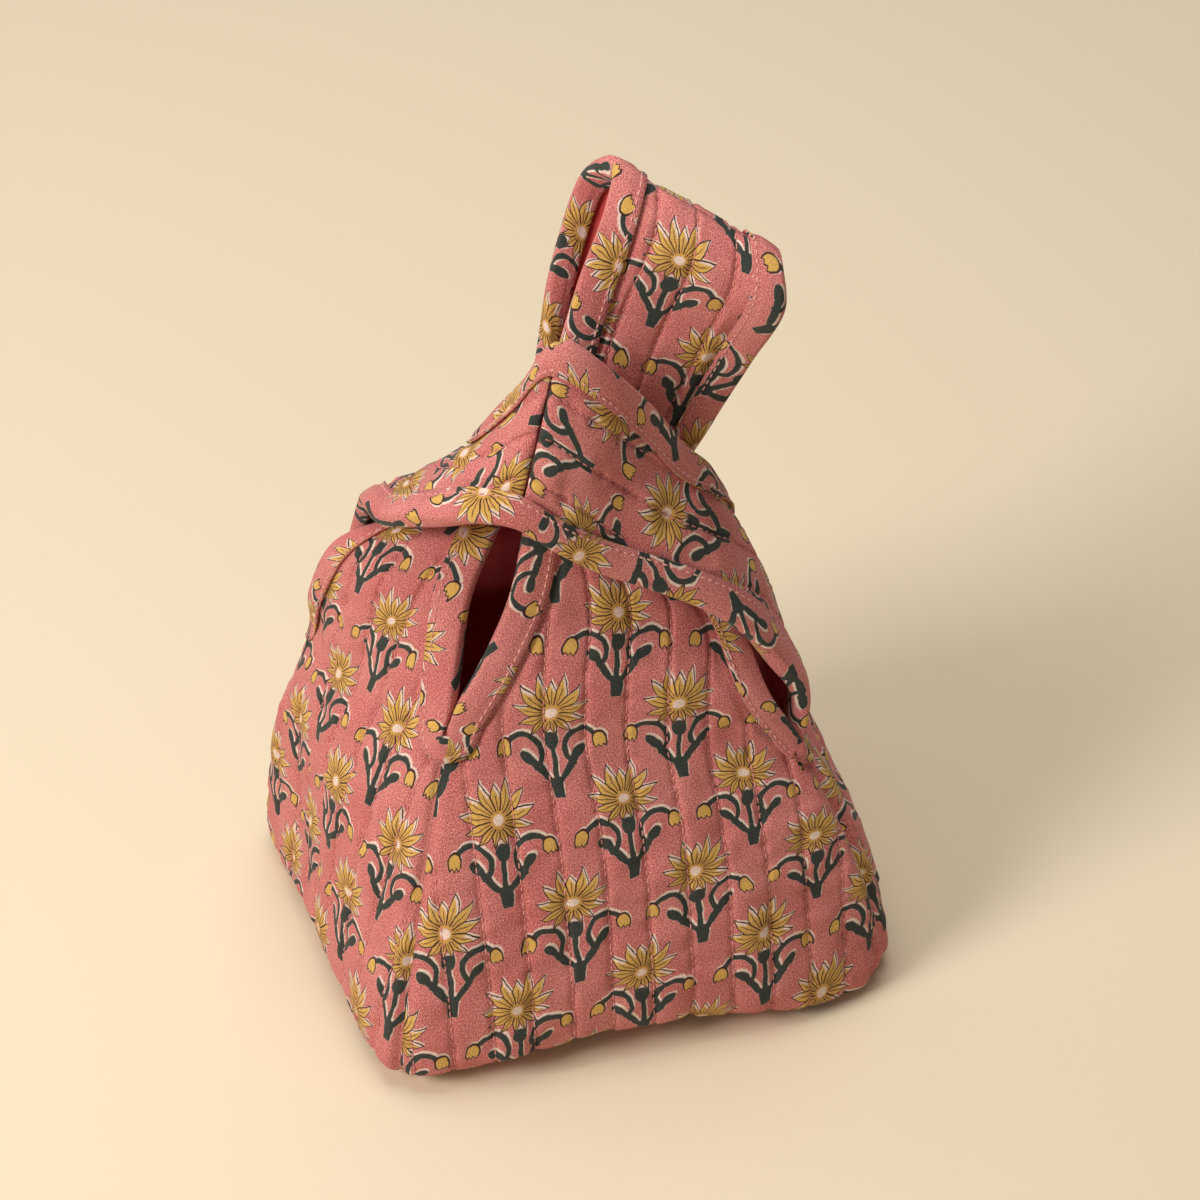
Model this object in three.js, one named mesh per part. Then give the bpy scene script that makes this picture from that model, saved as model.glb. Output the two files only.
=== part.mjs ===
// Knot vanity bag: a soft quilted bag on a rectangular base. Four tapering panels run up
// into half straps. The front and left straps join as the long loop, which passes up
// through the short loop that the right and back straps make.
// Millimetres, +Z up, origin on the floor at the middle of the base. The front faces -Y.
import * as THREE from 'three';

// Layers of the cloth
const OUTER_CLOTH = 2.0;
const LAYER_GAP = 0.35;
const LINING = 1.0;
const CLOTH_STACK = OUTER_CLOTH + LAYER_GAP + LINING;

// Bias binding folded over every open edge
const BINDING_WIDTH = 10;
const BINDING_CLOTH = 1.0;
const BINDING_GAP = 0.6;
const FOLD_EASE = 0.65;
const FOLD_REACH = 0.8;
const MITRE_DROP = 13;

// Clearance left at each sewn seam, and between the raw edge of a strap and its binding
const SEAM_INSET = 0.3;
const RAW_EDGE_INSET = 1.4;
const BASE_INSET = 0.65;

// Rows of the section tables: 0 is the seam to the base, TOP_OF_SEAM the place where two
// panels part, TOP_ROW the shoulder seam of the loop.
const TOP_OF_SEAM = 8;
const TOP_ROW = 16;
const COLUMNS = 7;
const STRAP_STEP = 0.5;

// Corner seams that two panels share, from the base up to the point where they part
const CORNERS = {
  nearLeft: [
    { x: -70, y: -51, z: 0 },
    { x: -78, y: -58, z: 2 },
    { x: -82.5, y: -62, z: 7 },
    { x: -83, y: -62, z: 14 },
    { x: -78.5, y: -57.5, z: 36 },
    { x: -72, y: -50.5, z: 59 },
    { x: -65, y: -42, z: 82 },
    { x: -57.5, y: -32.5, z: 103 },
    { x: -50, y: -23, z: 123 },
  ],
  nearRight: [
    { x: 79, y: -60, z: 0 },
    { x: 87, y: -67.5, z: 2 },
    { x: 91.5, y: -72, z: 7 },
    { x: 92, y: -72, z: 14 },
    { x: 89, y: -69, z: 32 },
    { x: 84.5, y: -64.5, z: 50 },
    { x: 79.5, y: -58.5, z: 67 },
    { x: 73.5, y: -51.5, z: 83 },
    { x: 67, y: -44, z: 99 },
  ],
  farLeft: [
    { x: -78, y: 59, z: 0 },
    { x: -85, y: 66, z: 2 },
    { x: -89, y: 70, z: 7 },
    { x: -89, y: 70.5, z: 14 },
    { x: -86, y: 69.5, z: 34 },
    { x: -83, y: 68, z: 54 },
    { x: -79.5, y: 66, z: 73 },
    { x: -75.5, y: 63.5, z: 91 },
    { x: -70.5, y: 60, z: 108 },
  ],
  farRight: [
    { x: 70, y: 50, z: 0 },
    { x: 78, y: 58, z: 2 },
    { x: 82.5, y: 62, z: 7 },
    { x: 82.5, y: 62, z: 14 },
    { x: 81, y: 60, z: 34 },
    { x: 78, y: 57, z: 53 },
    { x: 74.5, y: 53, z: 71 },
    { x: 70.5, y: 48.5, z: 89 },
    { x: 66, y: 44, z: 105 },
  ],
};

// Strap edges above the parting points, rows 9 to 16. The last row is the shoulder seam.
const STRAP_EDGES = {
  frontSlit: [
    { x: -34, y: -17, z: 143 },
    { x: -20, y: -9, z: 163 },
    { x: -11, y: 0, z: 187 },
    { x: -1, y: 12, z: 212 },
    { x: 8, y: 21, z: 234 },
    { x: 17, y: 27, z: 256 },
    { x: 26, y: 31, z: 276 },
    { x: 33, y: 42, z: 286 },
  ],
  frontNeck: [
    { x: 56, y: -38, z: 121 },
    { x: 52, y: -21, z: 138 },
    { x: 41, y: -9, z: 154 },
    { x: 41, y: 10, z: 174 },
    { x: 53, y: 9, z: 202 },
    { x: 63, y: 3, z: 229 },
    { x: 68, y: -8, z: 256 },
    { x: 71, y: 4, z: 269 },
  ],
  leftSlit: [
    { x: -42, y: -10, z: 143 },
    { x: -34, y: 0, z: 161 },
    { x: -20, y: 12, z: 176 },
    { x: -3, y: 27, z: 193 },
    { x: 6, y: 40, z: 217 },
    { x: 14, y: 49, z: 243 },
    { x: 27, y: 55, z: 273 },
    { x: 33, y: 42, z: 286 },
  ],
  leftNeck: [
    { x: -72, y: 52, z: 128 },
    { x: -64, y: 45, z: 153 },
    { x: -44, y: 38, z: 163 },
    { x: -8, y: 38, z: 162 },
    { x: 30, y: 35, z: 181 },
    { x: 57, y: 25, z: 209 },
    { x: 70, y: 18, z: 251 },
    { x: 71, y: 4, z: 269 },
  ],
  rightNeck: [
    { x: 71, y: -38, z: 115 },
    { x: 63, y: -35, z: 130 },
    { x: 53, y: -34, z: 146 },
    { x: 38, y: -29, z: 158 },
    { x: 21, y: -24, z: 168 },
    { x: 5, y: -20, z: 177 },
    { x: -8, y: -17, z: 187 },
    { x: -20, y: -12, z: 197 },
  ],
  rightSlit: [
    { x: 65, y: 36, z: 127 },
    { x: 62, y: 26, z: 150 },
    { x: 57, y: 14, z: 170 },
    { x: 49, y: 2, z: 189 },
    { x: 39, y: -1, z: 203 },
    { x: 29, y: -2, z: 221 },
    { x: 14, y: -3, z: 242 },
    { x: 0, y: 4, z: 252 },
  ],
  backNeck: [
    { x: -57, y: 61, z: 134 },
    { x: -53, y: 52, z: 162 },
    { x: -56, y: 36, z: 178 },
    { x: -55, y: 23, z: 183 },
    { x: -49, y: 13, z: 189 },
    { x: -41, y: 4, z: 193 },
    { x: -31, y: -5, z: 197 },
    { x: -20, y: -12, z: 197 },
  ],
  backSlit: [
    { x: 52, y: 52, z: 130 },
    { x: 34, y: 57, z: 150 },
    { x: 15, y: 58, z: 162 },
    { x: -1, y: 54, z: 173 },
    { x: -11, y: 43, z: 188 },
    { x: -14, y: 29, z: 206 },
    { x: -7, y: 15, z: 230 },
    { x: 0, y: 4, z: 252 },
  ],
};

// Each panel as seen from outside: its left and right seams and strap edges, the bulge of
// every row at the middle (crown) and next to the seams (round), and how far the bottom
// edge lifts off the floor, most at liftAt of the way from left to right.
const PANELS = {
  front: {
    left: 'nearLeft', right: 'nearRight', leftStrap: 'frontSlit', rightStrap: 'frontNeck',
    crown: [0, 1, 2, 4, 6, 7, 7, 6, 5, 4, 3, 2, 1, 1, 1, 1, 0],
    round: [0, 3, 5, 5, 4, 3, 2, 1, 0, 0, 0, 0, 0, 0, 0, 0, 0],
    lift: [7, 8, 8, 5, 1, 0, 0, 0, 0, 0, 0, 0, 0, 0, 0, 0, 0],
    liftAt: 0.4,
  },
  left: {
    left: 'farLeft', right: 'nearLeft', leftStrap: 'leftNeck', rightStrap: 'leftSlit',
    crown: [0, 0, 1, 2, 5, 8, 10, 10, 9, 7, 6, 5, 3, 2, 1, 1, 0],
    round: [0, 3, 5, 5, 4, 3, 2, 1, 0, 0, 0, 0, 0, 0, 0, 0, 0],
    lift: [7, 8, 8, 5, 1, 0, 0, 0, 0, 0, 0, 0, 0, 0, 0, 0, 0],
    liftAt: 0.5,
  },
  right: {
    left: 'nearRight', right: 'farRight', leftStrap: 'rightNeck', rightStrap: 'rightSlit',
    crown: [0, 1, 2, 4, 7, 9, 9, 8, 7, 6, 6, 5, 4, 3, 2, 2, 1],
    round: [0, 3, 5, 5, 4, 3, 2, 1, 0, 0, 0, 0, 0, 0, 0, 0, 0],
    lift: [5, 6, 6, 4, 1, 0, 0, 0, 0, 0, 0, 0, 0, 0, 0, 0, 0],
    liftAt: 0.5,
  },
  back: {
    left: 'farRight', right: 'farLeft', leftStrap: 'backSlit', rightStrap: 'backNeck',
    crown: [0, 1, 2, 4, 7, 9, 9, 8, 8, 8, 7, 5, 4, 2, 1, 1, 0],
    round: [0, 3, 5, 5, 4, 3, 2, 1, 0, 0, 0, 0, 0, 0, 0, 0, 0],
    lift: [5, 6, 6, 4, 1, 0, 0, 0, 0, 0, 0, 0, 0, 0, 0, 0, 0],
    liftAt: 0.5,
  },
};

// Soft ridges and hollows, each a rounded bump pushed out of one panel at a column and row
const FOLDS = [
  { panel: 'left', column: 1.2, row: 5, height: 3, columnReach: 0.9, rowReach: 2.2 },
  { panel: 'left', column: 2.4, row: 4.6, height: -4, columnReach: 0.8, rowReach: 1.6 },
  { panel: 'front', column: 4.6, row: 3.4, height: 3, columnReach: 1.4, rowReach: 1.2 },
  { panel: 'front', column: 5.5, row: 2, height: 5, columnReach: 1.1, rowReach: 1.2 },
  { panel: 'right', column: 2.4, row: 7, height: -4, columnReach: 1.2, rowReach: 1.8 },
  { panel: 'back', column: 4.2, row: 5.5, height: -3, columnReach: 1.2, rowReach: 2 },
];

// The panels whose straps meet at a shoulder seam, mirrored left to right
const PARTNER = { front: 'left', left: 'front', right: 'back', back: 'right' };

const point = (row) => new THREE.Vector3(row.x, row.y, row.z);

function edgePoints(corner, strap) {
  return [...CORNERS[corner], ...STRAP_EDGES[strap]].map(point);
}

// Column positions across a row, the outer ones one binding width in from each edge
function columnShares(width) {
  const band = BINDING_WIDTH / width;
  const shares = [0];
  for (let j = 0; j <= COLUMNS - 2; j += 1) {
    shares.push(band + ((1 - 2 * band) * j) / (COLUMNS - 2));
  }
  shares.push(1);
  return shares;
}

// Control net of one panel: a point for every table row and column
function controlNet(name) {
  const panel = PANELS[name];
  const left = edgePoints(panel.left, panel.leftStrap);
  const right = edgePoints(panel.right, panel.rightStrap);
  const middle = left.map((p, i) => p.clone().add(right[i]).multiplyScalar(0.5));
  const liftPower = Math.log(0.5) / Math.log(panel.liftAt);
  return left.map((p, row) => {
    const across = right[row].clone().sub(p);
    const below = middle[Math.max(row - 1, 0)];
    const above = middle[Math.min(row + 1, TOP_ROW)];
    const out = across.clone().cross(above.clone().sub(below)).normalize();
    return columnShares(across.length()).map((share, column) => {
      const side = 2 * share - 1;
      let push = panel.crown[row] * (1 - side ** 2) + panel.round[row] * (1 - side ** 8);
      for (const fold of FOLDS) {
        if (fold.panel === name && share > 0 && share < 1) {
          const away = ((column - fold.column) / fold.columnReach) ** 2
            + ((row - fold.row) / fold.rowReach) ** 2;
          push += fold.height * Math.exp(-away);
        }
      }
      const raise = panel.lift[row] * Math.sin(Math.PI * share ** liftPower) ** 2;
      const place = p.clone().addScaledVector(across, share).addScaledVector(out, push);
      place.z = Math.max(place.z + raise, 0);
      return place;
    });
  });
}

const NETS = Object.fromEntries(Object.keys(PANELS).map((name) => [name, controlNet(name)]));

// Smooth curve through four points in a row
function through(p0, p1, p2, p3, t) {
  const curve = (a, b, c, d) => 0.5 * (2 * b + (c - a) * t
    + (2 * a - 5 * b + 4 * c - d) * t * t + (3 * b - a - 3 * c + d) * t ** 3);
  return new THREE.Vector3(
    curve(p0.x, p1.x, p2.x, p3.x),
    curve(p0.y, p1.y, p2.y, p3.y),
    curve(p0.z, p1.z, p2.z, p3.z),
  );
}

// Net point past either end: the partner's strap above the shoulder seam, else straight on
function netPoint(name, row, column) {
  const net = NETS[name];
  if (row < 0) {
    return net[0][column].clone().multiplyScalar(2).sub(net[1][column]);
  }
  if (row > TOP_ROW) {
    return NETS[PARTNER[name]][2 * TOP_ROW - row][COLUMNS - column];
  }
  return net[row][column];
}

// Place on one column at any height. The two outer columns turn a corner where panels part.
function columnPlace(name, column, height) {
  const row = Math.min(Math.floor(height), TOP_ROW - 1);
  const atEdge = column === 0 || column === COLUMNS;
  const p1 = netPoint(name, row, column);
  const p2 = netPoint(name, row + 1, column);
  let p0 = netPoint(name, row - 1, column);
  let p3 = netPoint(name, row + 2, column);
  if (atEdge && row === TOP_OF_SEAM) {
    p0 = p1.clone().multiplyScalar(2).sub(p2);
  }
  if (atEdge && row === TOP_OF_SEAM - 1) {
    p3 = p2.clone().multiplyScalar(2).sub(p1);
  }
  return through(p0, p1, p2, p3, height - row);
}

const rowPlaces = (name, height) => Array.from(
  { length: COLUMNS + 1 },
  (_, column) => columnPlace(name, column, height),
);

// Outward direction of a panel at one column and height
function outward(name, column, height) {
  const step = 0.2;
  const places = rowPlaces(name, height);
  const across = places[Math.min(column + 1, COLUMNS)].clone()
    .sub(places[Math.max(column - 1, 0)]);
  const lower = columnPlace(name, column, Math.max(height - step, 0));
  const upper = columnPlace(name, column, Math.min(height + step, TOP_ROW));
  return across.cross(upper.sub(lower)).normalize();
}

// The panel that shares the seam beside an outer column, with its own column there
function neighbour(name, column) {
  const side = column === 0 ? 'left' : 'right';
  const opposite = column === 0 ? 'right' : 'left';
  const corner = PANELS[name][side];
  const other = Object.keys(PANELS).find((key) => PANELS[key][opposite] === corner);
  return { other, otherColumn: COLUMNS - column };
}

// Outward offset direction, shared and lengthened where two sheets meet at a corner seam or
// at the shoulder seam, so that both stop on one mitre
function offsetDirection(name, column, height) {
  const own = outward(name, column, height);
  const atEdge = column === 0 || column === COLUMNS;
  let next = own;
  if (atEdge && height <= TOP_OF_SEAM) {
    const { other, otherColumn } = neighbour(name, column);
    next = outward(other, otherColumn, height);
  } else if (height >= TOP_ROW - 0.1) {
    next = outward(PARTNER[name], COLUMNS - column, height);
  }
  return own.clone().add(next).divideScalar(1 + Math.max(own.dot(next), 0));
}

function sampleHeights(name) {
  const start = BASE_INSET / NETS[name][0][3].distanceTo(NETS[name][1][3]);
  const end = SEAM_INSET / NETS[name][TOP_ROW][3].distanceTo(NETS[name][TOP_ROW - 1][3]);
  const heights = [start];
  for (let row = 1; row <= TOP_OF_SEAM; row += 1) {
    heights.push(row);
  }
  for (let row = TOP_OF_SEAM + STRAP_STEP; row < TOP_ROW; row += STRAP_STEP) {
    heights.push(row);
  }
  heights.push(TOP_ROW - end);
  return heights;
}

// Grid of places at one depth below the outer face of a panel
function panelGrid(name, depth) {
  return sampleHeights(name).map((height) => {
    const clearance = height > TOP_OF_SEAM ? RAW_EDGE_INSET : SEAM_INSET;
    const sunk = rowPlaces(name, height).map((place, column) => place.clone()
      .addScaledVector(offsetDirection(name, column, height), -depth));
    const drawnIn = (from, to) => from.clone()
      .addScaledVector(to.clone().sub(from).normalize(), clearance);
    return [
      drawnIn(sunk[0], sunk[1]),
      ...sunk.slice(1, COLUMNS),
      drawnIn(sunk[COLUMNS], sunk[COLUMNS - 1]),
    ];
  });
}

function geometryFrom(vertices, triangles) {
  const geometry = new THREE.BufferGeometry();
  const numbers = vertices.flatMap((v) => [v.x, v.y, v.z]);
  geometry.setAttribute('position', new THREE.Float32BufferAttribute(numbers, 3));
  geometry.setIndex(triangles);
  geometry.computeVertexNormals();
  return geometry;
}

// Closed sheet between an outer and an inner grid of the same size
function sheetGeometry(outer, inner) {
  const rows = outer.length;
  const columns = outer[0].length;
  const vertices = [...outer.flat(), ...inner.flat()];
  const at = (row, column, layer) => layer * rows * columns + row * columns + column;
  const triangles = [];
  const quad = (a, b, c, d) => triangles.push(a, b, c, a, c, d);
  for (let i = 0; i < rows - 1; i += 1) {
    for (let j = 0; j < columns - 1; j += 1) {
      if (2 * j < columns - 1) {
        quad(at(i, j, 0), at(i, j + 1, 0), at(i + 1, j + 1, 0), at(i + 1, j, 0));
        quad(at(i, j, 1), at(i + 1, j, 1), at(i + 1, j + 1, 1), at(i, j + 1, 1));
      } else {
        quad(at(i, j + 1, 0), at(i + 1, j + 1, 0), at(i + 1, j, 0), at(i, j, 0));
        quad(at(i + 1, j, 1), at(i + 1, j + 1, 1), at(i, j + 1, 1), at(i, j, 1));
      }
    }
    const last = columns - 1;
    quad(at(i + 1, 0, 0), at(i + 1, 0, 1), at(i, 0, 1), at(i, 0, 0));
    quad(at(i, last, 1), at(i + 1, last, 1), at(i + 1, last, 0), at(i, last, 0));
  }
  for (let j = 0; j < columns - 1; j += 1) {
    const last = rows - 1;
    quad(at(0, j, 1), at(0, j + 1, 1), at(0, j + 1, 0), at(0, j, 0));
    quad(at(last, j, 0), at(last, j + 1, 0), at(last, j + 1, 1), at(last, j, 1));
  }
  return geometryFrom(vertices, triangles);
}

// Base outline at one depth, walked round the bag along the lowest row of every panel
const BASE_ORDER = ['front', 'right', 'back', 'left'];
const BASE_RINGS = [1, 0.8, 0.5];
const BASE_FLAT_TO = 0.55;

function baseRing(share, height) {
  return BASE_ORDER.flatMap((name) => NETS[name][0].slice(0, COLUMNS).map((place) => {
    const reach = Math.hypot(place.x, place.y);
    const pull = share === 1 ? (reach - BASE_INSET) / reach : share;
    const rise = THREE.MathUtils.smoothstep(share, BASE_FLAT_TO, 1) * place.z;
    return new THREE.Vector3(place.x * pull, place.y * pull, rise + height);
  }));
}

function baseGeometry(bottom, thickness) {
  const rings = BASE_RINGS.length;
  const around = BASE_ORDER.length * COLUMNS;
  const vertices = [bottom, bottom + thickness].flatMap((height) => [
    ...BASE_RINGS.flatMap((share) => baseRing(share, height)),
    new THREE.Vector3(0, 0, height),
  ]);
  const layerSize = rings * around + 1;
  const at = (ring, k, layer) => layer * layerSize + ring * around + (k % around);
  const triangles = [];
  for (let k = 0; k < around; k += 1) {
    for (let ring = 0; ring < rings - 1; ring += 1) {
      const under = [at(ring, k, 0), at(ring, k + 1, 0), at(ring + 1, k + 1, 0), at(ring + 1, k, 0)];
      const over = [at(ring, k, 1), at(ring, k + 1, 1), at(ring + 1, k + 1, 1), at(ring + 1, k, 1)];
      triangles.push(under[0], under[2], under[1], under[0], under[3], under[2]);
      triangles.push(over[0], over[1], over[2], over[0], over[2], over[3]);
    }
    const middleUnder = rings * around;
    const middleOver = layerSize + rings * around;
    triangles.push(at(rings - 1, k, 0), middleUnder, at(rings - 1, k + 1, 0));
    triangles.push(at(rings - 1, k, 1), at(rings - 1, k + 1, 1), middleOver);
    triangles.push(at(0, k, 0), at(0, k + 1, 0), at(0, k + 1, 1));
    triangles.push(at(0, k, 0), at(0, k + 1, 1), at(0, k, 1));
  }
  return geometryFrom(vertices, triangles);
}

// One section of the folded binding: over the outer face, round the edge, over the lining.
// The fold stands off the edge by its inner and outer reach.
function bindingSection(edge, border, edgeOut, borderOut, innerReach, outerReach) {
  const near = BINDING_GAP;
  const far = BINDING_GAP + BINDING_CLOTH;
  const raised = (base, out, height) => base.clone().addScaledVector(out, height);
  return [
    raised(border, borderOut, far),
    raised(edge, edgeOut, far + FOLD_EASE),
    raised(edge, edgeOut, near + FOLD_EASE).add(outerReach),
    raised(edge, edgeOut, -CLOTH_STACK - near - FOLD_EASE).add(outerReach),
    raised(edge, edgeOut, -CLOTH_STACK - far - FOLD_EASE),
    raised(border, borderOut, -CLOTH_STACK - far),
    raised(border, borderOut, -CLOTH_STACK - near),
    raised(edge, edgeOut, -CLOTH_STACK - near - FOLD_EASE).add(innerReach),
    raised(edge, edgeOut, near + FOLD_EASE).add(innerReach),
    raised(border, borderOut, near),
  ];
}

// Section across one strap edge at a height, folded straight over the edge
function bindingAcross(name, column, height, reaches) {
  const inner = column === 0 ? 1 : COLUMNS - 1;
  const edge = columnPlace(name, column, height);
  const border = columnPlace(name, inner, height);
  const beyond = edge.clone().sub(border).normalize();
  return bindingSection(
    edge,
    border,
    offsetDirection(name, column, reaches ? TOP_OF_SEAM : height),
    offsetDirection(name, inner, height),
    reaches ? reaches.inner : beyond.clone().multiplyScalar(FOLD_REACH),
    reaches ? reaches.outer : beyond.clone().multiplyScalar(FOLD_REACH + BINDING_CLOTH),
  );
}

// How far the fold bridges the foot of a slit, where its two sides still nearly touch
function footReaches(name, column) {
  const foot = columnPlace(name, column, TOP_OF_SEAM);
  const { other, otherColumn } = neighbour(name, column);
  const own = columnPlace(name, column, TOP_OF_SEAM + STRAP_STEP).sub(foot).normalize();
  const next = columnPlace(other, otherColumn, TOP_OF_SEAM + STRAP_STEP).sub(foot).normalize();
  const spread = Math.sin(own.angleTo(next) / 2);
  const up = own.add(next).normalize();
  return {
    inner: up.clone().multiplyScalar(FOLD_REACH / spread),
    outer: up.clone().multiplyScalar((FOLD_REACH + BINDING_CLOTH) / spread),
  };
}

// Stations up one strap edge, from where the panels part to the shoulder seam
function bindingClimb(name, column) {
  const justAbove = TOP_OF_SEAM + 0.06;
  const stations = [bindingAcross(name, column, justAbove, footReaches(name, column))];
  for (let height = TOP_OF_SEAM + STRAP_STEP; height <= TOP_ROW; height += STRAP_STEP) {
    stations.push(bindingAcross(name, column, height, null));
  }
  return stations;
}

// Station at the foot of a slit, where the binding runs down the seam to its mitre
function bindingFoot(name, column) {
  const top = columnPlace(name, column, TOP_OF_SEAM);
  const below = columnPlace(name, column, TOP_OF_SEAM - 1);
  const height = TOP_OF_SEAM - MITRE_DROP / top.distanceTo(below);
  const reaches = footReaches(name, column);
  return bindingSection(
    top,
    columnPlace(name, column, height),
    offsetDirection(name, column, TOP_OF_SEAM),
    offsetDirection(name, column, height),
    reaches.inner,
    reaches.outer,
  );
}

// Closed run of binding over a list of straps, each climbed and then left downwards.
// Its facets are split the same way as those of the panel under them.
function bindingGeometry(straps) {
  const stations = [];
  const rising = [];
  for (const { up, upColumn, down, downColumn } of straps) {
    const climb = [bindingFoot(up, upColumn), ...bindingClimb(up, upColumn)];
    const descent = bindingClimb(down, downColumn).slice(0, -1).reverse();
    stations.push(...climb, ...descent);
    rising.push(...climb.map((_, i) => i < climb.length - 1), ...descent.map(() => false));
  }
  const corners = stations[0].length;
  const leaning = [0, 6, 7];
  const triangles = [];
  stations.forEach((_, i) => {
    const next = (i + 1) % stations.length;
    for (let k = 0; k < corners; k += 1) {
      const after = (k + 1) % corners;
      const [a, b] = [i * corners + k, i * corners + after];
      const [c, d] = [next * corners + after, next * corners + k];
      if (leaning.includes(k) === rising[i]) {
        triangles.push(a, d, b, b, d, c);
      } else {
        triangles.push(a, c, b, a, d, c);
      }
    }
  });
  return geometryFrom(stations.flat(), triangles);
}

const COLOURS = { print: 0xcd6f70, lining: 0xae4646, binding: 0xc96a6c };

function cloth(name, geometry, colour) {
  const material = new THREE.MeshStandardMaterial({ color: colour, roughness: 0.9, metalness: 0 });
  const mesh = new THREE.Mesh(geometry, material);
  mesh.name = name;
  return mesh;
}

const bag = new THREE.Group();
for (const name of Object.keys(PANELS)) {
  const liningTop = OUTER_CLOTH + LAYER_GAP;
  const outerSheet = sheetGeometry(panelGrid(name, 0), panelGrid(name, OUTER_CLOTH));
  const innerSheet = sheetGeometry(panelGrid(name, liningTop), panelGrid(name, CLOTH_STACK));
  bag.add(cloth(`panel_${name}`, outerSheet, COLOURS.print));
  bag.add(cloth(`lining_${name}`, innerSheet, COLOURS.lining));
}
bag.add(cloth('base_panel', baseGeometry(0, OUTER_CLOTH), COLOURS.print));
bag.add(cloth('base_lining', baseGeometry(OUTER_CLOTH + LAYER_GAP, LINING), COLOURS.lining));

const LONG_SLIT = [{ up: 'front', upColumn: 0, down: 'left', downColumn: COLUMNS }];
const SHORT_SLIT = [{ up: 'back', upColumn: 0, down: 'right', downColumn: COLUMNS }];
const NECK = [
  { up: 'right', upColumn: 0, down: 'back', downColumn: COLUMNS },
  { up: 'left', upColumn: 0, down: 'front', downColumn: COLUMNS },
];
bag.add(cloth('binding_long_armhole', bindingGeometry(LONG_SLIT), COLOURS.binding));
bag.add(cloth('binding_short_armhole', bindingGeometry(SHORT_SLIT), COLOURS.binding));
bag.add(cloth('binding_neck', bindingGeometry(NECK), COLOURS.binding));

export default bag;
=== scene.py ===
"""Soft quilted knot bag: block-printed gores, plain lining, bias bindings and their sewing."""
import logging
import math
from dataclasses import dataclass
from enum import Enum

import bpy
import numpy as np
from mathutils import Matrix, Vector


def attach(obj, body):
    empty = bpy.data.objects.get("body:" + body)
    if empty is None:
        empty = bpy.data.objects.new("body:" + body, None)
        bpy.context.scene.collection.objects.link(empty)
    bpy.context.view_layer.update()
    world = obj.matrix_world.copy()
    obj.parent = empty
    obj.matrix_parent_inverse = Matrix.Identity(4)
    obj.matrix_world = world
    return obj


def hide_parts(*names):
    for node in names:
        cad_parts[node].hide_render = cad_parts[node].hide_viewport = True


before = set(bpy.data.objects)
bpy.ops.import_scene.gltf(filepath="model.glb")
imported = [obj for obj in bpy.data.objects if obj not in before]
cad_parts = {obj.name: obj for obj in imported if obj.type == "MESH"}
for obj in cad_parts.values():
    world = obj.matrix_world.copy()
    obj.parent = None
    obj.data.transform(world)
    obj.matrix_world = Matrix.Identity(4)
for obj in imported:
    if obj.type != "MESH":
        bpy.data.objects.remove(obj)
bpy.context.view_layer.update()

LOG = logging.getLogger("knot_bag")
Array = np.ndarray
Colour = tuple[float, ...]
Pair = tuple[float, float]
Place = tuple[float, float, float]
Piece = bpy.types.Object
Socket = bpy.types.NodeSocket
MM = 0.001

# Corner seams in millimetres, a point for each table row from the base up to where the gores part
CORNERS = {
    "near_left": (
        (-70, -51, 0), (-78, -58, 2), (-82.5, -62, 7), (-83, -62, 14), (-78.5, -57.5, 36),
        (-72, -50.5, 59), (-65, -42, 82), (-57.5, -32.5, 103), (-50, -23, 123),
    ),
    "near_right": (
        (79, -60, 0), (87, -67.5, 2), (91.5, -72, 7), (92, -72, 14), (89, -69, 32),
        (84.5, -64.5, 50), (79.5, -58.5, 67), (73.5, -51.5, 83), (67, -44, 99),
    ),
    "far_left": (
        (-78, 59, 0), (-85, 66, 2), (-89, 70, 7), (-89, 70.5, 14), (-86, 69.5, 34),
        (-83, 68, 54), (-79.5, 66, 73), (-75.5, 63.5, 91), (-70.5, 60, 108),
    ),
    "far_right": (
        (70, 50, 0), (78, 58, 2), (82.5, 62, 7), (82.5, 62, 14), (81, 60, 34),
        (78, 57, 53), (74.5, 53, 71), (70.5, 48.5, 89), (66, 44, 105),
    ),
}
# Strap edges, a point for each row from there up to the shoulder seams
STRAP_EDGES = {
    "front_slit": (
        (-34, -17, 143), (-20, -9, 163), (-11, 0, 187), (-1, 12, 212),
        (8, 21, 234), (17, 27, 256), (26, 31, 276), (33, 42, 286),
    ),
    "front_neck": (
        (56, -38, 121), (52, -21, 138), (41, -9, 154), (41, 10, 174),
        (53, 9, 202), (63, 3, 229), (68, -8, 256), (71, 4, 269),
    ),
    "left_slit": (
        (-42, -10, 143), (-34, 0, 161), (-20, 12, 176), (-3, 27, 193),
        (6, 40, 217), (14, 49, 243), (27, 55, 273), (33, 42, 286),
    ),
    "left_neck": (
        (-72, 52, 128), (-64, 45, 153), (-44, 38, 163), (-8, 38, 162),
        (30, 35, 181), (57, 25, 209), (70, 18, 251), (71, 4, 269),
    ),
    "right_neck": (
        (71, -38, 115), (63, -35, 130), (53, -34, 146), (38, -29, 158),
        (21, -24, 168), (5, -20, 177), (-8, -17, 187), (-20, -12, 197),
    ),
    "right_slit": (
        (65, 36, 127), (62, 26, 150), (57, 14, 170), (49, 2, 189),
        (39, -1, 203), (29, -2, 221), (14, -3, 242), (0, 4, 252),
    ),
    "back_neck": (
        (-57, 61, 134), (-53, 52, 162), (-56, 36, 178), (-55, 23, 183),
        (-49, 13, 189), (-41, 4, 193), (-31, -5, 197), (-20, -12, 197),
    ),
    "back_slit": (
        (52, 52, 130), (34, 57, 150), (15, 58, 162), (-1, 54, 173),
        (-11, 43, 188), (-14, 29, 206), (-7, 15, 230), (0, 4, 252),
    ),
}


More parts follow.
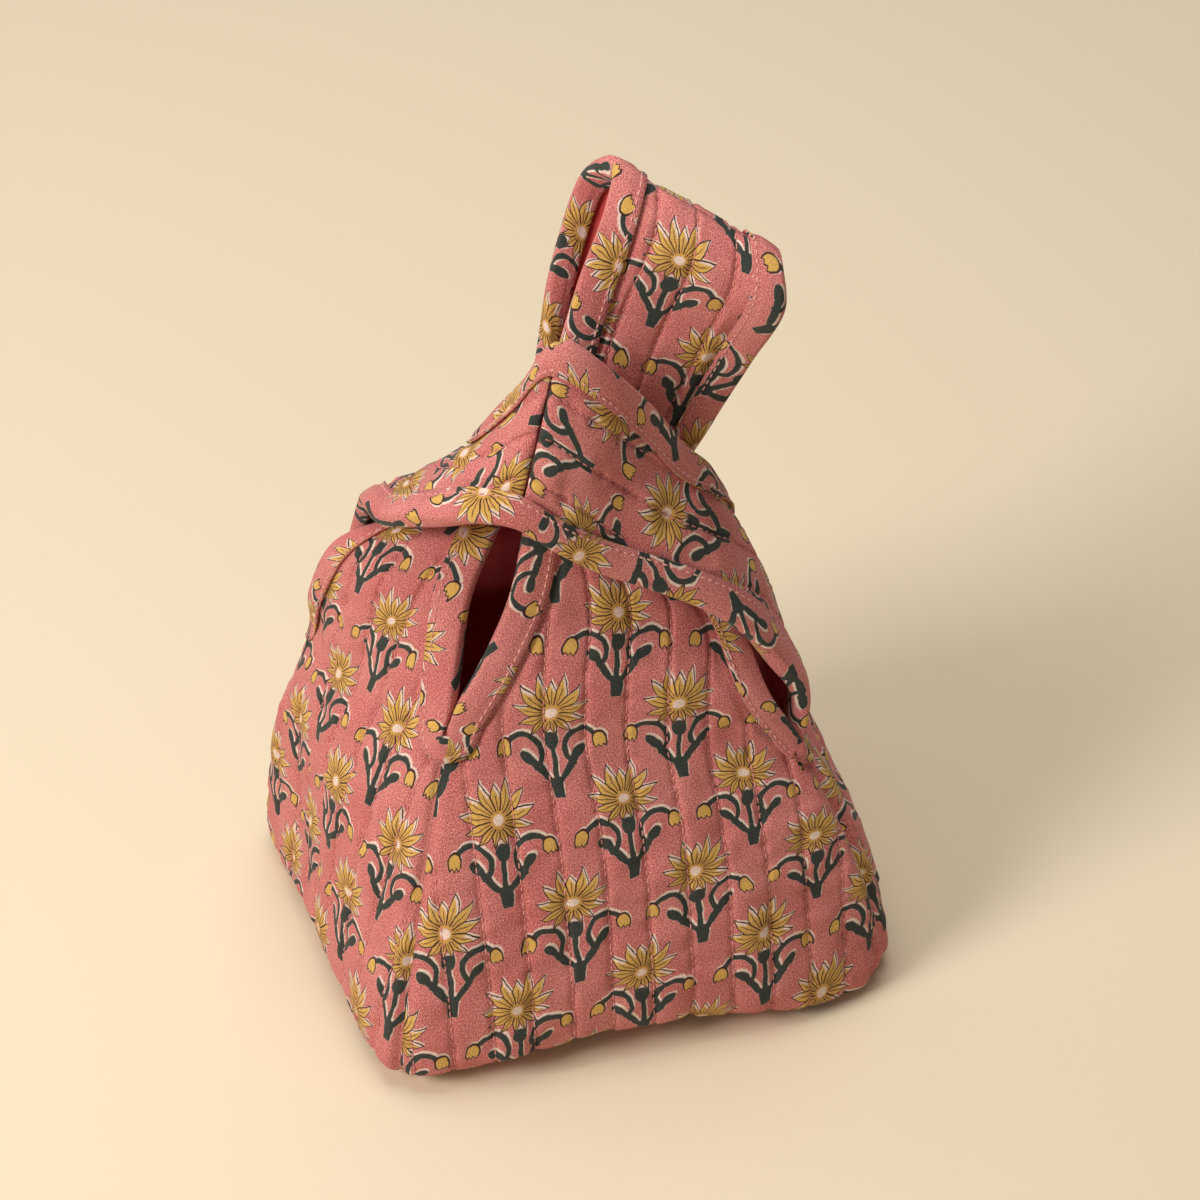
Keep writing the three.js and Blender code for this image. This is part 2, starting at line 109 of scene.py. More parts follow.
@dataclass(frozen=True)
class Fold:
    """A soft ridge or hollow: a rounded bump at a column and row of the section tables."""

    column: float
    row: float
    height: float
    column_reach: float
    row_reach: float


@dataclass(frozen=True)
class GoreCut:
    """How one gore panel is cut and how it bulges, row by row of the section tables."""

    left: str
    right: str
    left_strap: str
    right_strap: str
    crown: tuple[float, ...]
    lift: tuple[float, ...]
    lift_at: float
    folds: tuple[Fold, ...]


ROUND = (0, 3, 5, 5, 4, 3, 2, 1, 0, 0, 0, 0, 0, 0, 0, 0, 0)
HIGH_LIFT = (7, 8, 8, 5, 1) + (0,) * 12
LOW_LIFT = (5, 6, 6, 4, 1) + (0,) * 12
GORES = {
    "front": GoreCut(
        "near_left", "near_right", "front_slit", "front_neck",
        (0, 1, 2, 4, 6, 7, 7, 6, 5, 4, 3, 2, 1, 1, 1, 1, 0), HIGH_LIFT, 0.4,
        (Fold(4.6, 3.4, 3, 1.4, 1.2), Fold(5.5, 2, 5, 1.1, 1.2)),
    ),
    "left": GoreCut(
        "far_left", "near_left", "left_neck", "left_slit",
        (0, 0, 1, 2, 5, 8, 10, 10, 9, 7, 6, 5, 3, 2, 1, 1, 0), HIGH_LIFT, 0.5,
        (Fold(1.2, 5, 3, 0.9, 2.2), Fold(2.4, 4.6, -4, 0.8, 1.6)),
    ),
    "right": GoreCut(
        "near_right", "far_right", "right_neck", "right_slit",
        (0, 1, 2, 4, 7, 9, 9, 8, 7, 6, 6, 5, 4, 3, 2, 2, 1), LOW_LIFT, 0.5,
        (Fold(2.4, 7, -4, 1.2, 1.8),),
    ),
    "back": GoreCut(
        "far_right", "far_left", "back_slit", "back_neck",
        (0, 1, 2, 4, 7, 9, 9, 8, 8, 8, 7, 5, 4, 2, 1, 1, 0), LOW_LIFT, 0.5,
        (Fold(4.2, 5.5, -3, 1.2, 2),),
    ),
}
PARTNER = {"front": "left", "left": "front", "right": "back", "back": "right"}
PARTING_ROW = 8
TOP_ROW = 16
COLUMNS = 7
BINDING_WIDTH = 10.0

# Steps aside and up that a normal is measured over, rows that the mitres fade over above a
# corner seam and below a shoulder seam, and millimetres that they fade over beside a seam
SHARE_STEP = 0.02
ROW_STEP = 0.12
SEAM_FADE = 0.6
CREST_FADE = 0.5
MITRE_REACH = 8.0

# Width and height of one repeat of the print, and spacing of the quilting lines
BLOCK = np.array([43.0, 63.8])
QUILT_PITCH = 14.0
LINE_WANDER = 0.5
WANDER_ACROSS = 60
WANDER_UP = 45

# Places on the bindings: from their border, 1, to the edge, 0, and down round the foot of a slit
STRIP_MARKS = (1.0, 0.81, 0.6, 0.4, 0.2, 0.0)
STRIP_PUFF = (0.0, -0.55, 0.3, 0.35, 0.2, 0.0)
FOOT_TURNS = (90.0, 72.0, 54.0, 36.0, 18.0)
FOOT_GAP = 0.06
BIAS = 0.7071

# Rings of a stitch: share of its length, size, and how deep it sinks into the cloth
STITCH_RINGS = ((0, 0.35, -0.9), (0.22, 1, 0), (0.78, 1, 0), (1, 0.35, -0.9))
STITCH_SIDES = 4

# Rings of the base from its edge inwards, and where it starts to rise
BASE_RINGS = (1, 0.97, 0.92, 0.86, 0.8, 0.72, 0.64, 0.55, 0.44, 0.32, 0.2, 0.08, 0.02)
BASE_FLAT = 0.55


def ramp(values: Array) -> Array:
    """Values kept between 0 and 1."""
    return np.clip(values, 0, 1)


def ease(t: Array) -> Array:
    """Soft step from 0 to 1."""
    return t * t * (3 - 2 * t)


def hump(away: Array, reach: float) -> Array:
    """Rounded bump: 1 in the middle, fading over a reach."""
    return np.exp(-((away / reach) ** 2))


def unit(vectors: Array) -> Array:
    """Scale vectors along the last axis to length one."""
    return vectors / np.maximum(np.linalg.norm(vectors, axis=-1, keepdims=True), 1e-9)


def mitre(own: Array, other: Array) -> Array:
    """Direction two sheets share along a seam, long enough that their layers meet."""
    return (own + other) / (1 + np.maximum((own * other).sum(-1, keepdims=True), 0.1))


def lengths(points: Array) -> Array:
    """Distance run along lines of points.

    Args:
        points: one or more lines, their points on the last axis but one.

    Returns:
        Distance of each point from the start of its line.
    """
    steps = np.linalg.norm(np.diff(points, axis=-2), axis=-1)
    start = np.zeros((*points.shape[:-2], 1))
    return np.concatenate([start, np.cumsum(steps, axis=-1)], axis=-1)


def resample(where: Array, run: Array, points: Array) -> Array:
    """Points at given distances along a line.

    Args:
        where: distances wanted.
        run: distance of each point of the line.
        points: points of the line.

    Returns:
        One point for each distance.
    """
    return np.stack([np.interp(where, run, points[:, axis]) for axis in range(3)], axis=-1)


def soft_curve(p0: Array, p1: Array, p2: Array, p3: Array, t: Array) -> Array:
    """Smooth curve from p1 to p2.

    Args:
        p0: point before the stretch.
        p1: its first point.
        p2: its last point.
        p3: point after the stretch.
        t: places along the stretch, from 0 to 1.

    Returns:
        Points of the curve.
    """
    return 0.5 * (
        2 * p1 + (p2 - p0) * t + (2 * p0 - 5 * p1 + 4 * p2 - p3) * t**2
        + (3 * p1 - p0 - 3 * p2 + p3) * t**3
    )


class Gore:
    """The smooth outer face of one gore panel, as a function of share across and row up."""

    def __init__(self, name: str) -> None:
        """Read the panel's edges.

        Args:
            name: front, left, right or back.
        """
        self.name = name
        self.cut = GORES[name]
        self.left = np.array(CORNERS[self.cut.left] + STRAP_EDGES[self.cut.left_strap], float)
        self.right = np.array(CORNERS[self.cut.right] + STRAP_EDGES[self.cut.right_strap], float)
        middle = (self.left + self.right) / 2
        rows = np.arange(TOP_ROW + 1)
        rise = middle[np.minimum(rows + 1, TOP_ROW)] - middle[np.maximum(rows - 1, 0)]
        self.across = self.right - self.left
        self.width = np.linalg.norm(self.across, axis=1)
        self.out = unit(np.cross(self.across, rise))

    def net_row(self, row: int, share: Array) -> Array:
        """Points of one table row.

        Args:
            row: row of the section tables.
            share: positions across the panel, from 0 at its left edge to 1.

        Returns:
            One point for each share, in millimetres.
        """
        side = 2 * share - 1
        push = self.cut.crown[row] * (1 - side**2) + ROUND[row] * (1 - side**8)
        band = BINDING_WIDTH / self.width[row]
        column = np.where(
            share < band, share / band,
            np.where(share > 1 - band, COLUMNS - (1 - share) / band,
                     1 + (COLUMNS - 2) * (share - band) / (1 - 2 * band)),
        )
        fade = ramp(np.minimum(share, 1 - share) / band)
        for fold in self.cut.folds:
            away = ((column - fold.column) / fold.column_reach) ** 2
            away += ((row - fold.row) / fold.row_reach) ** 2
            push = push + fold.height * np.exp(-away) * fade
        power = math.log(0.5) / math.log(self.cut.lift_at)
        places = self.left[row] + np.outer(share, self.across[row]) + np.outer(push, self.out[row])
        places[:, 2] += self.cut.lift[row] * np.sin(np.pi * share**power) ** 2
        places[:, 2] = np.maximum(places[:, 2], 0)
        return places

    def net(self, share: Array) -> Array:
        """All table rows, with one more below the base seam and one past the shoulder seam.

        Args:
            share: positions across, from 0 to 1.

        Returns:
            Array of rows by shares by three.
        """
        rows = [self.net_row(row, share) for row in range(TOP_ROW + 1)]
        beyond = Gore(PARTNER[self.name]).net_row(TOP_ROW - 1, 1 - share)
        return np.array([2 * rows[0] - rows[1], *rows, beyond])

    def face(self, share: Array, height: Array) -> Array:
        """Places on the outer face.

        Args:
            share: positions across, from 0 to 1.
            height: positions up, in table rows from 0 to the top row.

        Returns:
            Array of heights by shares by three, in millimetres.
        """
        net = self.net(share)
        row = np.minimum(np.floor(height).astype(int), TOP_ROW - 1)
        t = (height - row)[:, None, None]
        p0, p1, p2, p3 = (net[row + k] for k in range(4))
        smooth = soft_curve(p0, p1, p2, p3, t)
        start = np.where((row == PARTING_ROW)[:, None, None], 2 * p1 - p2, p0)
        stop = np.where((row == PARTING_ROW - 1)[:, None, None], 2 * p2 - p1, p3)
        kinked = soft_curve(start, p1, p2, stop, t)
        width = np.linalg.norm(smooth[:, -1] - smooth[:, 0], axis=1)[:, None]
        near_edge = np.minimum(share, 1 - share)[None, :] * width / BINDING_WIDTH
        weight = ramp(1 - near_edge)[:, :, None]
        return smooth * (1 - weight) + kinked * weight

    def normals(self, share: Array, height: Array) -> Array:
        """Unit outward normals of the plain face.

        Args:
            share: positions across, from 0 to 1.
            height: positions up, in table rows.

        Returns:
            Array of heights by shares by three.
        """
        across = self.face(ramp(share + SHARE_STEP), height)
        across = across - self.face(ramp(share - SHARE_STEP), height)
        over = self.face(share, np.clip(height + ROW_STEP, 0, TOP_ROW))
        return unit(np.cross(across, over - self.face(share, np.clip(height - ROW_STEP, 0, TOP_ROW))))

    def neighbour(self, at_edge: float) -> "Gore":
        """Find the gore sewn to this one.

        Args:
            at_edge: 0 along the left edge, 1 along the right.

        Returns:
            The other gore.
        """
        seam = self.cut.right if at_edge else self.cut.left
        for name, cut in GORES.items():
            if seam == (cut.left if at_edge else cut.right):
                return Gore(name)
        raise ValueError(seam)

    def directions(self, share: Array, height: Array, reach: float) -> Array:
        """Outward directions, lengthened into a mitre along the corner and shoulder seams.

        Args:
            share: positions across, from 0 to 1.
            height: positions up, in table rows.
            reach: millimetres from a seam over which the mitre fades out.

        Returns:
            Array of heights by shares by three.
        """
        own = self.normals(share, height)
        width = lengths(self.face(share, height))[:, -1:]
        sewn = ramp((PARTING_ROW + SEAM_FADE - height) / SEAM_FADE)[:, None]
        total = own
        for at_edge, away in ((0.0, share), (1.0, 1 - share)):
            other = self.neighbour(at_edge).normals(np.array([1 - at_edge]), height)
            seam = mitre(self.normals(np.array([at_edge]), height), other)
            weight = (ramp(1 - away[None, :] * width / reach) * sewn)[:, :, None]
            total = total * (1 - weight) + seam * weight
        crest = mitre(own, Gore(PARTNER[self.name]).normals(1 - share, height))
        weight = ramp(1 - (TOP_ROW - height) / CREST_FADE)[:, None, None]
        return total * (1 - weight) + crest * weight

    def even_heights(self, spacing: float, start: float, stop: float) -> Array:
        """Heights a fixed distance apart along the middle of the panel.

        Args:
            spacing: millimetres between rows.
            start: first height, in table rows.
            stop: last height, in table rows.

        Returns:
            Heights, one of them exactly where the panels part.
        """
        fine = np.linspace(start, stop, 900)
        run = lengths(self.face(np.array([0.5]), fine)[:, 0])
        heights = np.interp(np.linspace(0, run[-1], int(run[-1] / spacing) + 2), run, fine)
        heights[np.argmin(np.abs(heights - PARTING_ROW))] = PARTING_ROW
        return heights


def arc_lengths(face: Array) -> tuple[Array, Array]:
    """Flat coordinates of a face, as if the panel lay on the cutting table.

    Args:
        face: heights by shares by three, in millimetres.

    Returns:
        Distance across from the middle, and distance up the middle, both in millimetres.
    """
    across = lengths(face)
    middle = face.shape[1] // 2
    up = lengths(face[:, middle])
    return across - across[:, [middle]], np.repeat(up[:, None], face.shape[1], axis=1)


class Ripple:
    """Smooth seeded noise over the cloth, from about -1 to 1."""

    size: int = 64

    def __init__(self, seed: int) -> None:
        """Fill the lattice that the ripple is read from.

        Args:
            seed: fixes the pattern.
        """
        self.values = np.random.default_rng(seed).uniform(-1, 1, (self.size, self.size))

    def at(self, x: Array, y: Array) -> Array:
        """Read the ripple.

        Args:
            x: first coordinate, in ripple lengths.
            y: second coordinate, in ripple lengths.

        Returns:
            Values of the same shape.
        """
        left, low = np.floor(x).astype(int), np.floor(y).astype(int)
        u, v = ease(x - left), ease(y - low)
        i, j = left % self.size, low % self.size
        right, high = (left + 1) % self.size, (low + 1) % self.size
        under = self.values[i, j] * (1 - u) + self.values[right, j] * u
        return under * (1 - v) + (self.values[i, high] * (1 - u) + self.values[right, high] * u) * v


def make_object(
    name: str, points: Array, faces: Array, maps: dict[str, Array], reads: Array | None = None
) -> Piece:
    """Make one smooth mesh object, with nothing of it below the floor.

    Args:
        name: name of the piece.
        points: vertices in millimetres.
        faces: one row of vertex numbers for each quad.
        maps: flat coordinates of each vertex, by map name.
        reads: rows of the maps that the faces read, where the mesh closes on itself.

    Returns:
        The new object, placed by its vertices.
    """
    mesh = bpy.data.meshes.new(name)
    places = np.array(points, float)
    places[:, 2] = np.maximum(places[:, 2], 0)
    mesh.vertices.add(len(places))
    mesh.vertices.foreach_set("co", (places * MM).astype(np.float32).ravel())
    mesh.loops.add(faces.size)
    mesh.loops.foreach_set("vertex_index", faces.astype(np.int32).ravel())
    mesh.polygons.add(len(faces))
    starts = np.arange(0, faces.size, faces.shape[1], dtype=np.int32)
    mesh.polygons.foreach_set("loop_start", starts)
    corners = (faces if reads is None else reads).ravel()
    for map_name, values in maps.items():
        layer = mesh.uv_layers.new(name=map_name)
        layer.uv.foreach_set("vector", values[corners].astype(np.float32).ravel())
    mesh.update(calc_edges=True)
    mesh.validate()
    mesh.shade_smooth()
    piece = bpy.data.objects.new(name, mesh)
    bpy.context.scene.collection.objects.link(piece)
    return piece


def grid_faces(rows: int, columns: int) -> Array:
    """Quads of a grid of vertices.

    Args:
        rows: number of rows of vertices.
        columns: number of vertices in a row.

    Returns:
        One row of four vertex numbers for each quad.
    """
    start = (np.arange(rows - 1)[:, None] * columns + np.arange(columns - 1)).ravel()
    return np.stack([start, start + 1, start + columns + 1, start + columns], axis=1)


def shell(name: str, outer: Array, inner: Array, maps: dict[str, Array]) -> Piece:
    """Closed cloth between an outer and an inner grid.

    Args:
        name: name of the piece.
        outer: outer face, rows by columns by three.
        inner: inner face of the same size.
        maps: flat coordinates, rows by columns by two.

    Returns:
        The new object.
    """
    rows, columns = outer.shape[:2]
    front = grid_faces(rows, columns)
    count = rows * columns
    rim = np.concatenate([
        np.arange(columns), columns * np.arange(1, rows) + columns - 1,
        count - 2 - np.arange(columns - 1), columns * np.arange(rows - 2, 0, -1),
    ])
    after = np.roll(rim, -1)
    walls = np.stack([after, rim, rim + count, after + count], axis=1)
    faces = np.concatenate([front, front[:, ::-1] + count, walls])
    both = {key: np.tile(value.reshape(-1, 2), (2, 1)) for key, value in maps.items()}
    points = np.concatenate([outer.reshape(-1, 3), inner.reshape(-1, 3)])
    return make_object(name, points, faces, both)


def closed(grid: Array) -> Array:
    """A grid with its first row and first column repeated at the end."""
    return np.pad(grid, ((0, 1), (0, 1), (0, 0)), mode="wrap")


def ring(name: str, sections: Array, maps: dict[str, Array]) -> Piece:
    """Closed cloth made of sections joined one to the next, and the last to the first.

    Args:
        name: name of the piece.
        sections: stations by corners by three.
        maps: flat coordinates of the closed grid, one station and one corner more.

    Returns:
        The new object.
    """
    stations, corners = sections.shape[:2]
    reads = grid_faces(stations + 1, corners + 1)[:, ::-1]
    station, corner = np.divmod(reads, corners + 1)
    faces = (station % stations) * corners + corner % corners
    flat = {key: value.reshape(-1, 2) for key, value in maps.items()}
    return make_object(name, sections.reshape(-1, 3), faces, flat, reads)


def stand_for(piece: Piece, cad: str) -> None:
    """Let a piece stand for a CAD solid, on the bag's one body.

    Args:
        piece: the finished piece.
        cad: name of the solid.
    """
    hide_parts(cad)
    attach(piece, "root")


@dataclass(frozen=True)
class Thread:
    """Size and spacing of a row of small rounded stitches, in millimetres."""

    radius: float = 0.27
    length: float = 2.2
    pitch: float = 3.0

    def stitches(self, path: Array, out: Array) -> tuple[Array, Array]:
        """Stitches along a path.

        Args:
            path: points the thread follows.
            out: outward direction at each point.

        Returns:
            Vertices and quads.
        """
        run = lengths(path)
        starts = np.arange(self.pitch / 2, run[-1] - self.pitch, self.pitch)
        begin, end = resample(starts, run, path), resample(starts + self.length, run, path)
        up = unit(resample(starts + self.length / 2, run, out))
        side = unit(np.cross(up, unit(end - begin)))
        turns = np.arange(STITCH_SIDES) * 2 * np.pi / STITCH_SIDES
        rings = []
        for share, size, sink in STITCH_RINGS:
            middle = begin + (end - begin) * share + up * self.radius * sink
            thick = self.radius * size
            rings.append([middle + thick * (side * math.cos(a) + up * math.sin(a)) for a in turns])
        points = np.array(rings).transpose(2, 0, 1, 3)
        last = (len(STITCH_RINGS) - 1) * STITCH_SIDES
        quads = [tuple(range(STITCH_SIDES))[::-1], tuple(range(last, last + STITCH_SIDES))]
        for low in range(0, last, STITCH_SIDES):
            high = low + STITCH_SIDES
            for k in range(STITCH_SIDES):
                after = (k + 1) % STITCH_SIDES
                quads.append((low + k, low + after, high + after, high + k))
        shift = (last + STITCH_SIDES) * np.arange(len(starts))
        faces = np.array(quads)[None] + shift[:, None, None]
        return points.reshape(-1, 3), faces.reshape(-1, 4)

    def sew(self, name: str, rows: list[tuple[Array, Array]], finish: bpy.types.Material) -> Piece:
        """Join rows of stitches into one piece.

        Args:
            name: name of the piece.
            rows: path and outward directions of each row.
            finish: material of the thread.

        Returns:
            The new object, riding on the bag.
        """
        points, faces, total = [], [], 0
        for path, out in rows:
            new_points, new_faces = self.stitches(path, out)
            points.append(new_points)
            faces.append(new_faces + total)
            total += len(new_points)
        every = np.concatenate(points)
        thread = make_object(name, every, np.concatenate(faces), {"flat": every[:, [0, 2]]})
        thread.data.materials.append(finish)
        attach(thread, "root")
        return thread


@dataclass(frozen=True)
class QuiltedGore:
    """One gore panel: printed cotton, wadding and backing, quilted in upright lines."""

    name: str
    flat: Pair
    area: float
    seed: int
    lattice_origin: Pair
    lattice_across: Pair = (BLOCK[0], 0.0)
    lattice_up: Pair = (0.0, BLOCK[1])
    row_spacing: float = 1.45
    columns: int = 165
    cloth: float = 1.9
    bound_share: float = 0.026
    puff: float = 0.7
    groove: float = 0.75
    pucker: float = 0.8
    long_crease: float = 0.9
    short_crease: float = 0.75
    seam_dip: float = 2.1
    groove_reach: float = 0.9
    pucker_reach: float = 3.0
    seam_reach: float = 2.2
    seam_margin: float = 2.5
    shortest_row: int = 4
    thread_rise: float = 0.24

    def print_map(self, x: Array, y: Array) -> Array:
        """Flat coordinates turned into repeats of the block.

        Args:
            x: flat distance across, in millimetres.
            y: flat distance up, in millimetres.

        Returns:
            Repeats across and up.
        """
        basis = np.array([self.lattice_across, self.lattice_up]).T
        return (np.stack([x, y], axis=-1) - self.lattice_origin) @ np.linalg.inv(basis).T

    def relief(self, x: Array, y: Array, height: Array) -> Array:
        """Puffs between the quilting lines, puckers along them and soft creases.

        Args:
            x: flat distance across, in millimetres.
            y: flat distance up, in millimetres.
            height: table rows of the grid's rows.

        Returns:
            How far the cloth stands out, in millimetres.
        """
        ripple = Ripple(self.seed)
        phase = (x + LINE_WANDER * ripple.at(x / WANDER_ACROSS, y / WANDER_UP)) / QUILT_PITCH
        line = np.abs(phase - np.round(phase)) * QUILT_PITCH
        total = self.puff * np.sin(np.pi * line / QUILT_PITCH) ** 0.55
        total = total - self.groove * hump(line, self.groove_reach)
        pucker = self.pucker * ripple.at(x / 6 + 11, y / 2.9)
        total = total + pucker * hump(line, self.pucker_reach)
        total = total + self.long_crease * ripple.at(x / 16 + 3, y / 34)
        total = total + self.short_crease * ripple.at(x / 9 + 5, y / 6 + 2)
        near = np.minimum(x - x[:, :1], x[:, -1:] - x)
        above = ramp((height - PARTING_ROW + 0.3) / 0.6)[:, None]
        fade = ramp((near - BINDING_WIDTH + 1) / 3) * above + ramp(near / 4) * (1 - above)
        ends = ramp(np.minimum((y - y[0]) / 12, (y[-1] - y) / 3))
        return (total * fade - self.seam_dip * hump(near, self.seam_reach) * (1 - above)) * ends

    def quilting_rows(
        self, outer: Array, out: Array, x: Array, height: Array
    ) -> list[tuple[Array, Array]]:
        """Paths of the quilting lines on the finished face.

        Args:
            outer: finished outer face.
            out: outward directions.
            x: flat distance across.
            height: table rows of the grid's rows.

        Returns:
            Path and outward directions of each line.
        """
        margin = np.where(height > PARTING_ROW, BINDING_WIDTH, self.seam_margin)
        ripple = Ripple(self.seed)
        y = arc_lengths(outer)[1][:, 0]
        most = int(np.abs(x).max() // QUILT_PITCH)
        rows = []
        for plain in np.arange(-most, most + 1) * QUILT_PITCH:
            wander = ripple.at(np.full(len(y), plain / WANDER_ACROSS), y / WANDER_UP)
            where = plain - LINE_WANDER * wander
            inside = (x[:, 0] + margin < where) & (where < x[:, -1] - margin)
            for run in np.split(np.arange(len(y)), np.flatnonzero(np.diff(inside)) + 1):
                if inside[run[0]] and len(run) > self.shortest_row:
                    path = np.array([resample(where[row], x[row], outer[row]) for row in run])
                    up = np.array([resample(where[row], x[row], out[row]) for row in run])
                    rows.append((path + self.thread_rise * up, up))
        return rows

    def make(self, finishes: "Finishes") -> tuple[Piece, ...]:
        """Build the quilted panel and its quilting thread.

        Args:
            finishes: materials of the bag.

        Returns:
            The panel and the thread.
        """
        gore = Gore(self.name)
        height = gore.even_heights(self.row_spacing, 0.06, TOP_ROW - 0.02)
        share = np.linspace(0, 1, self.columns)
        face = gore.face(share, height)
        inset = ramp((height - PARTING_ROW) / 0.5) * self.bound_share
        trimmed = 0.5 + np.outer(1 - 2 * inset, share - 0.5)
        face = np.array([resample(to, share, row) for to, row in zip(trimmed, face)])
        out = gore.directions(share, height, 2 * self.cloth + 0.6)
        x, y = arc_lengths(face)
        outer = face + out * self.relief(x, y, height)[:, :, None]
        maps = {"print": self.print_map(x, y), "flat": np.stack([x, y], axis=-1)}
        panel = shell(f"quilted_{self.name}", outer, face - out * self.cloth, maps)
        panel.data.materials.append(finishes.print_cotton)
        stand_for(panel, f"panel_{self.name}")
        rows = self.quilting_rows(outer, out, x, height)
        thread = Thread().sew(f"quilting_{self.name}", rows, finishes.thread)
        return panel, thread


@dataclass(frozen=True)
class PlainLining:
    """The plain cotton lining of one gore."""

    name: str
    flat: Pair
    area: float
    depth: float = 2.35
    cloth: float = 1.0
    columns: int = 33
    edge_share: float = 0.006
    slack: float = 0.5
    first_seed: int = 40

    def make(self, finishes: "Finishes") -> tuple[Piece, ...]:
        """Build the lining.

        Args:
            finishes: materials of the bag.

        Returns:
            The lining.
        """
        gore = Gore(self.name)
        height = gore.even_heights(4.0, 0.1, TOP_ROW - 0.03)
        share = np.linspace(self.edge_share, 1 - self.edge_share, self.columns)
        face = gore.face(share, height)
        out = gore.directions(share, height, MITRE_REACH)
        x, y = arc_lengths(face)
        ripple = Ripple(self.first_seed + len(self.name))
        fade = ramp(np.minimum(x - x[:, :1], x[:, -1:] - x) / 14 - 0.6)
        slack = np.minimum(self.slack * ripple.at(x / 22, y / 30), 0.0) * fade - 0.1
        outer = face + out * (slack - self.depth)[:, :, None]
        inner = face + out * (1.6 * slack - self.depth - self.cloth)[:, :, None]
        maps = {"flat": np.stack([x, y], axis=-1)}
        piece = shell(f"lining_cloth_{self.name}", outer, inner, maps)
        piece.data.materials.append(finishes.lining)
        stand_for(piece, f"lining_{self.name}")
        return (piece,)


@dataclass(frozen=True)
class BaseLayer:
    """One layer of the base panel, flat where the bag rests and rising to its edge."""

    name: str
    cad: str
    bottom: float
    cloth: float
    printed: bool
    inset: float = 0.65
    flat: Pair = (0.174, 0.133)
    area: float = 0.016
    around: int = 40
    groove: float = 0.5

    def make(self, finishes: "Finishes") -> tuple[Piece, ...]:
        """Build the base layer.

        Args:
            finishes: materials of the bag.

        Returns:
            The base layer.
        """
        share = np.linspace(0, 1, self.around, endpoint=False)
        sides = ("front", "right", "back", "left")
        edge = np.concatenate([Gore(name).face(share, np.array([0.0]))[0] for name in sides])
        reach = np.linalg.norm(edge[:, :2], axis=1, keepdims=True)
        layers = []
        for size in BASE_RINGS:
            pull = (reach - self.inset) / reach if size == 1 else size
            rise = ease(ramp((size - BASE_FLAT) / (1 - BASE_FLAT))) * edge[:, 2:]
            layers.append(np.concatenate([edge[:, :2] * pull, rise + self.bottom], axis=1))
        under = np.stack(layers, axis=1)
        over = under + np.array([0, 0, self.cloth])
        phase = under[:, :, 0] / QUILT_PITCH
        line = np.abs(phase - np.round(phase)) * QUILT_PITCH
        raised = under[:, :, 2] > 0.02
        under[:, :, 2] += self.groove * hump(line, 1.3) * raised * self.printed
        sections = np.concatenate([over, under[:, ::-1]], axis=1)
        plan = closed(sections)[:, :, :2]
        piece = ring(self.name, sections, {"print": plan / BLOCK, "flat": plan})
        piece.data.materials.append(finishes.print_cotton if self.printed else finishes.lining)
        stand_for(piece, self.cad)
        return (piece,)


class Leg(Enum):
    """Which way a binding runs along a strap edge."""

    UP = 1
    DOWN = -1


@dataclass(frozen=True)
class Stations:
    """Stations along a binding: the line across its face and the fold past its edge."""

    lines: Array
    ups: Array
    beyond: Array
    reach: Array

    def pick(self, which: slice) -> "Stations":
        """Some of the stations, in the order of a slice."""
        return Stations(self.lines[which], self.ups[which], self.beyond[which], self.reach[which])

    @staticmethod
    def join(parts: "list[Stations]") -> "Stations":
        """Stations of several parts, one after another."""
        kinds = ("lines", "ups", "beyond", "reach")
        return Stations(*(np.concatenate([getattr(part, kind) for part in parts]) for kind in kinds))


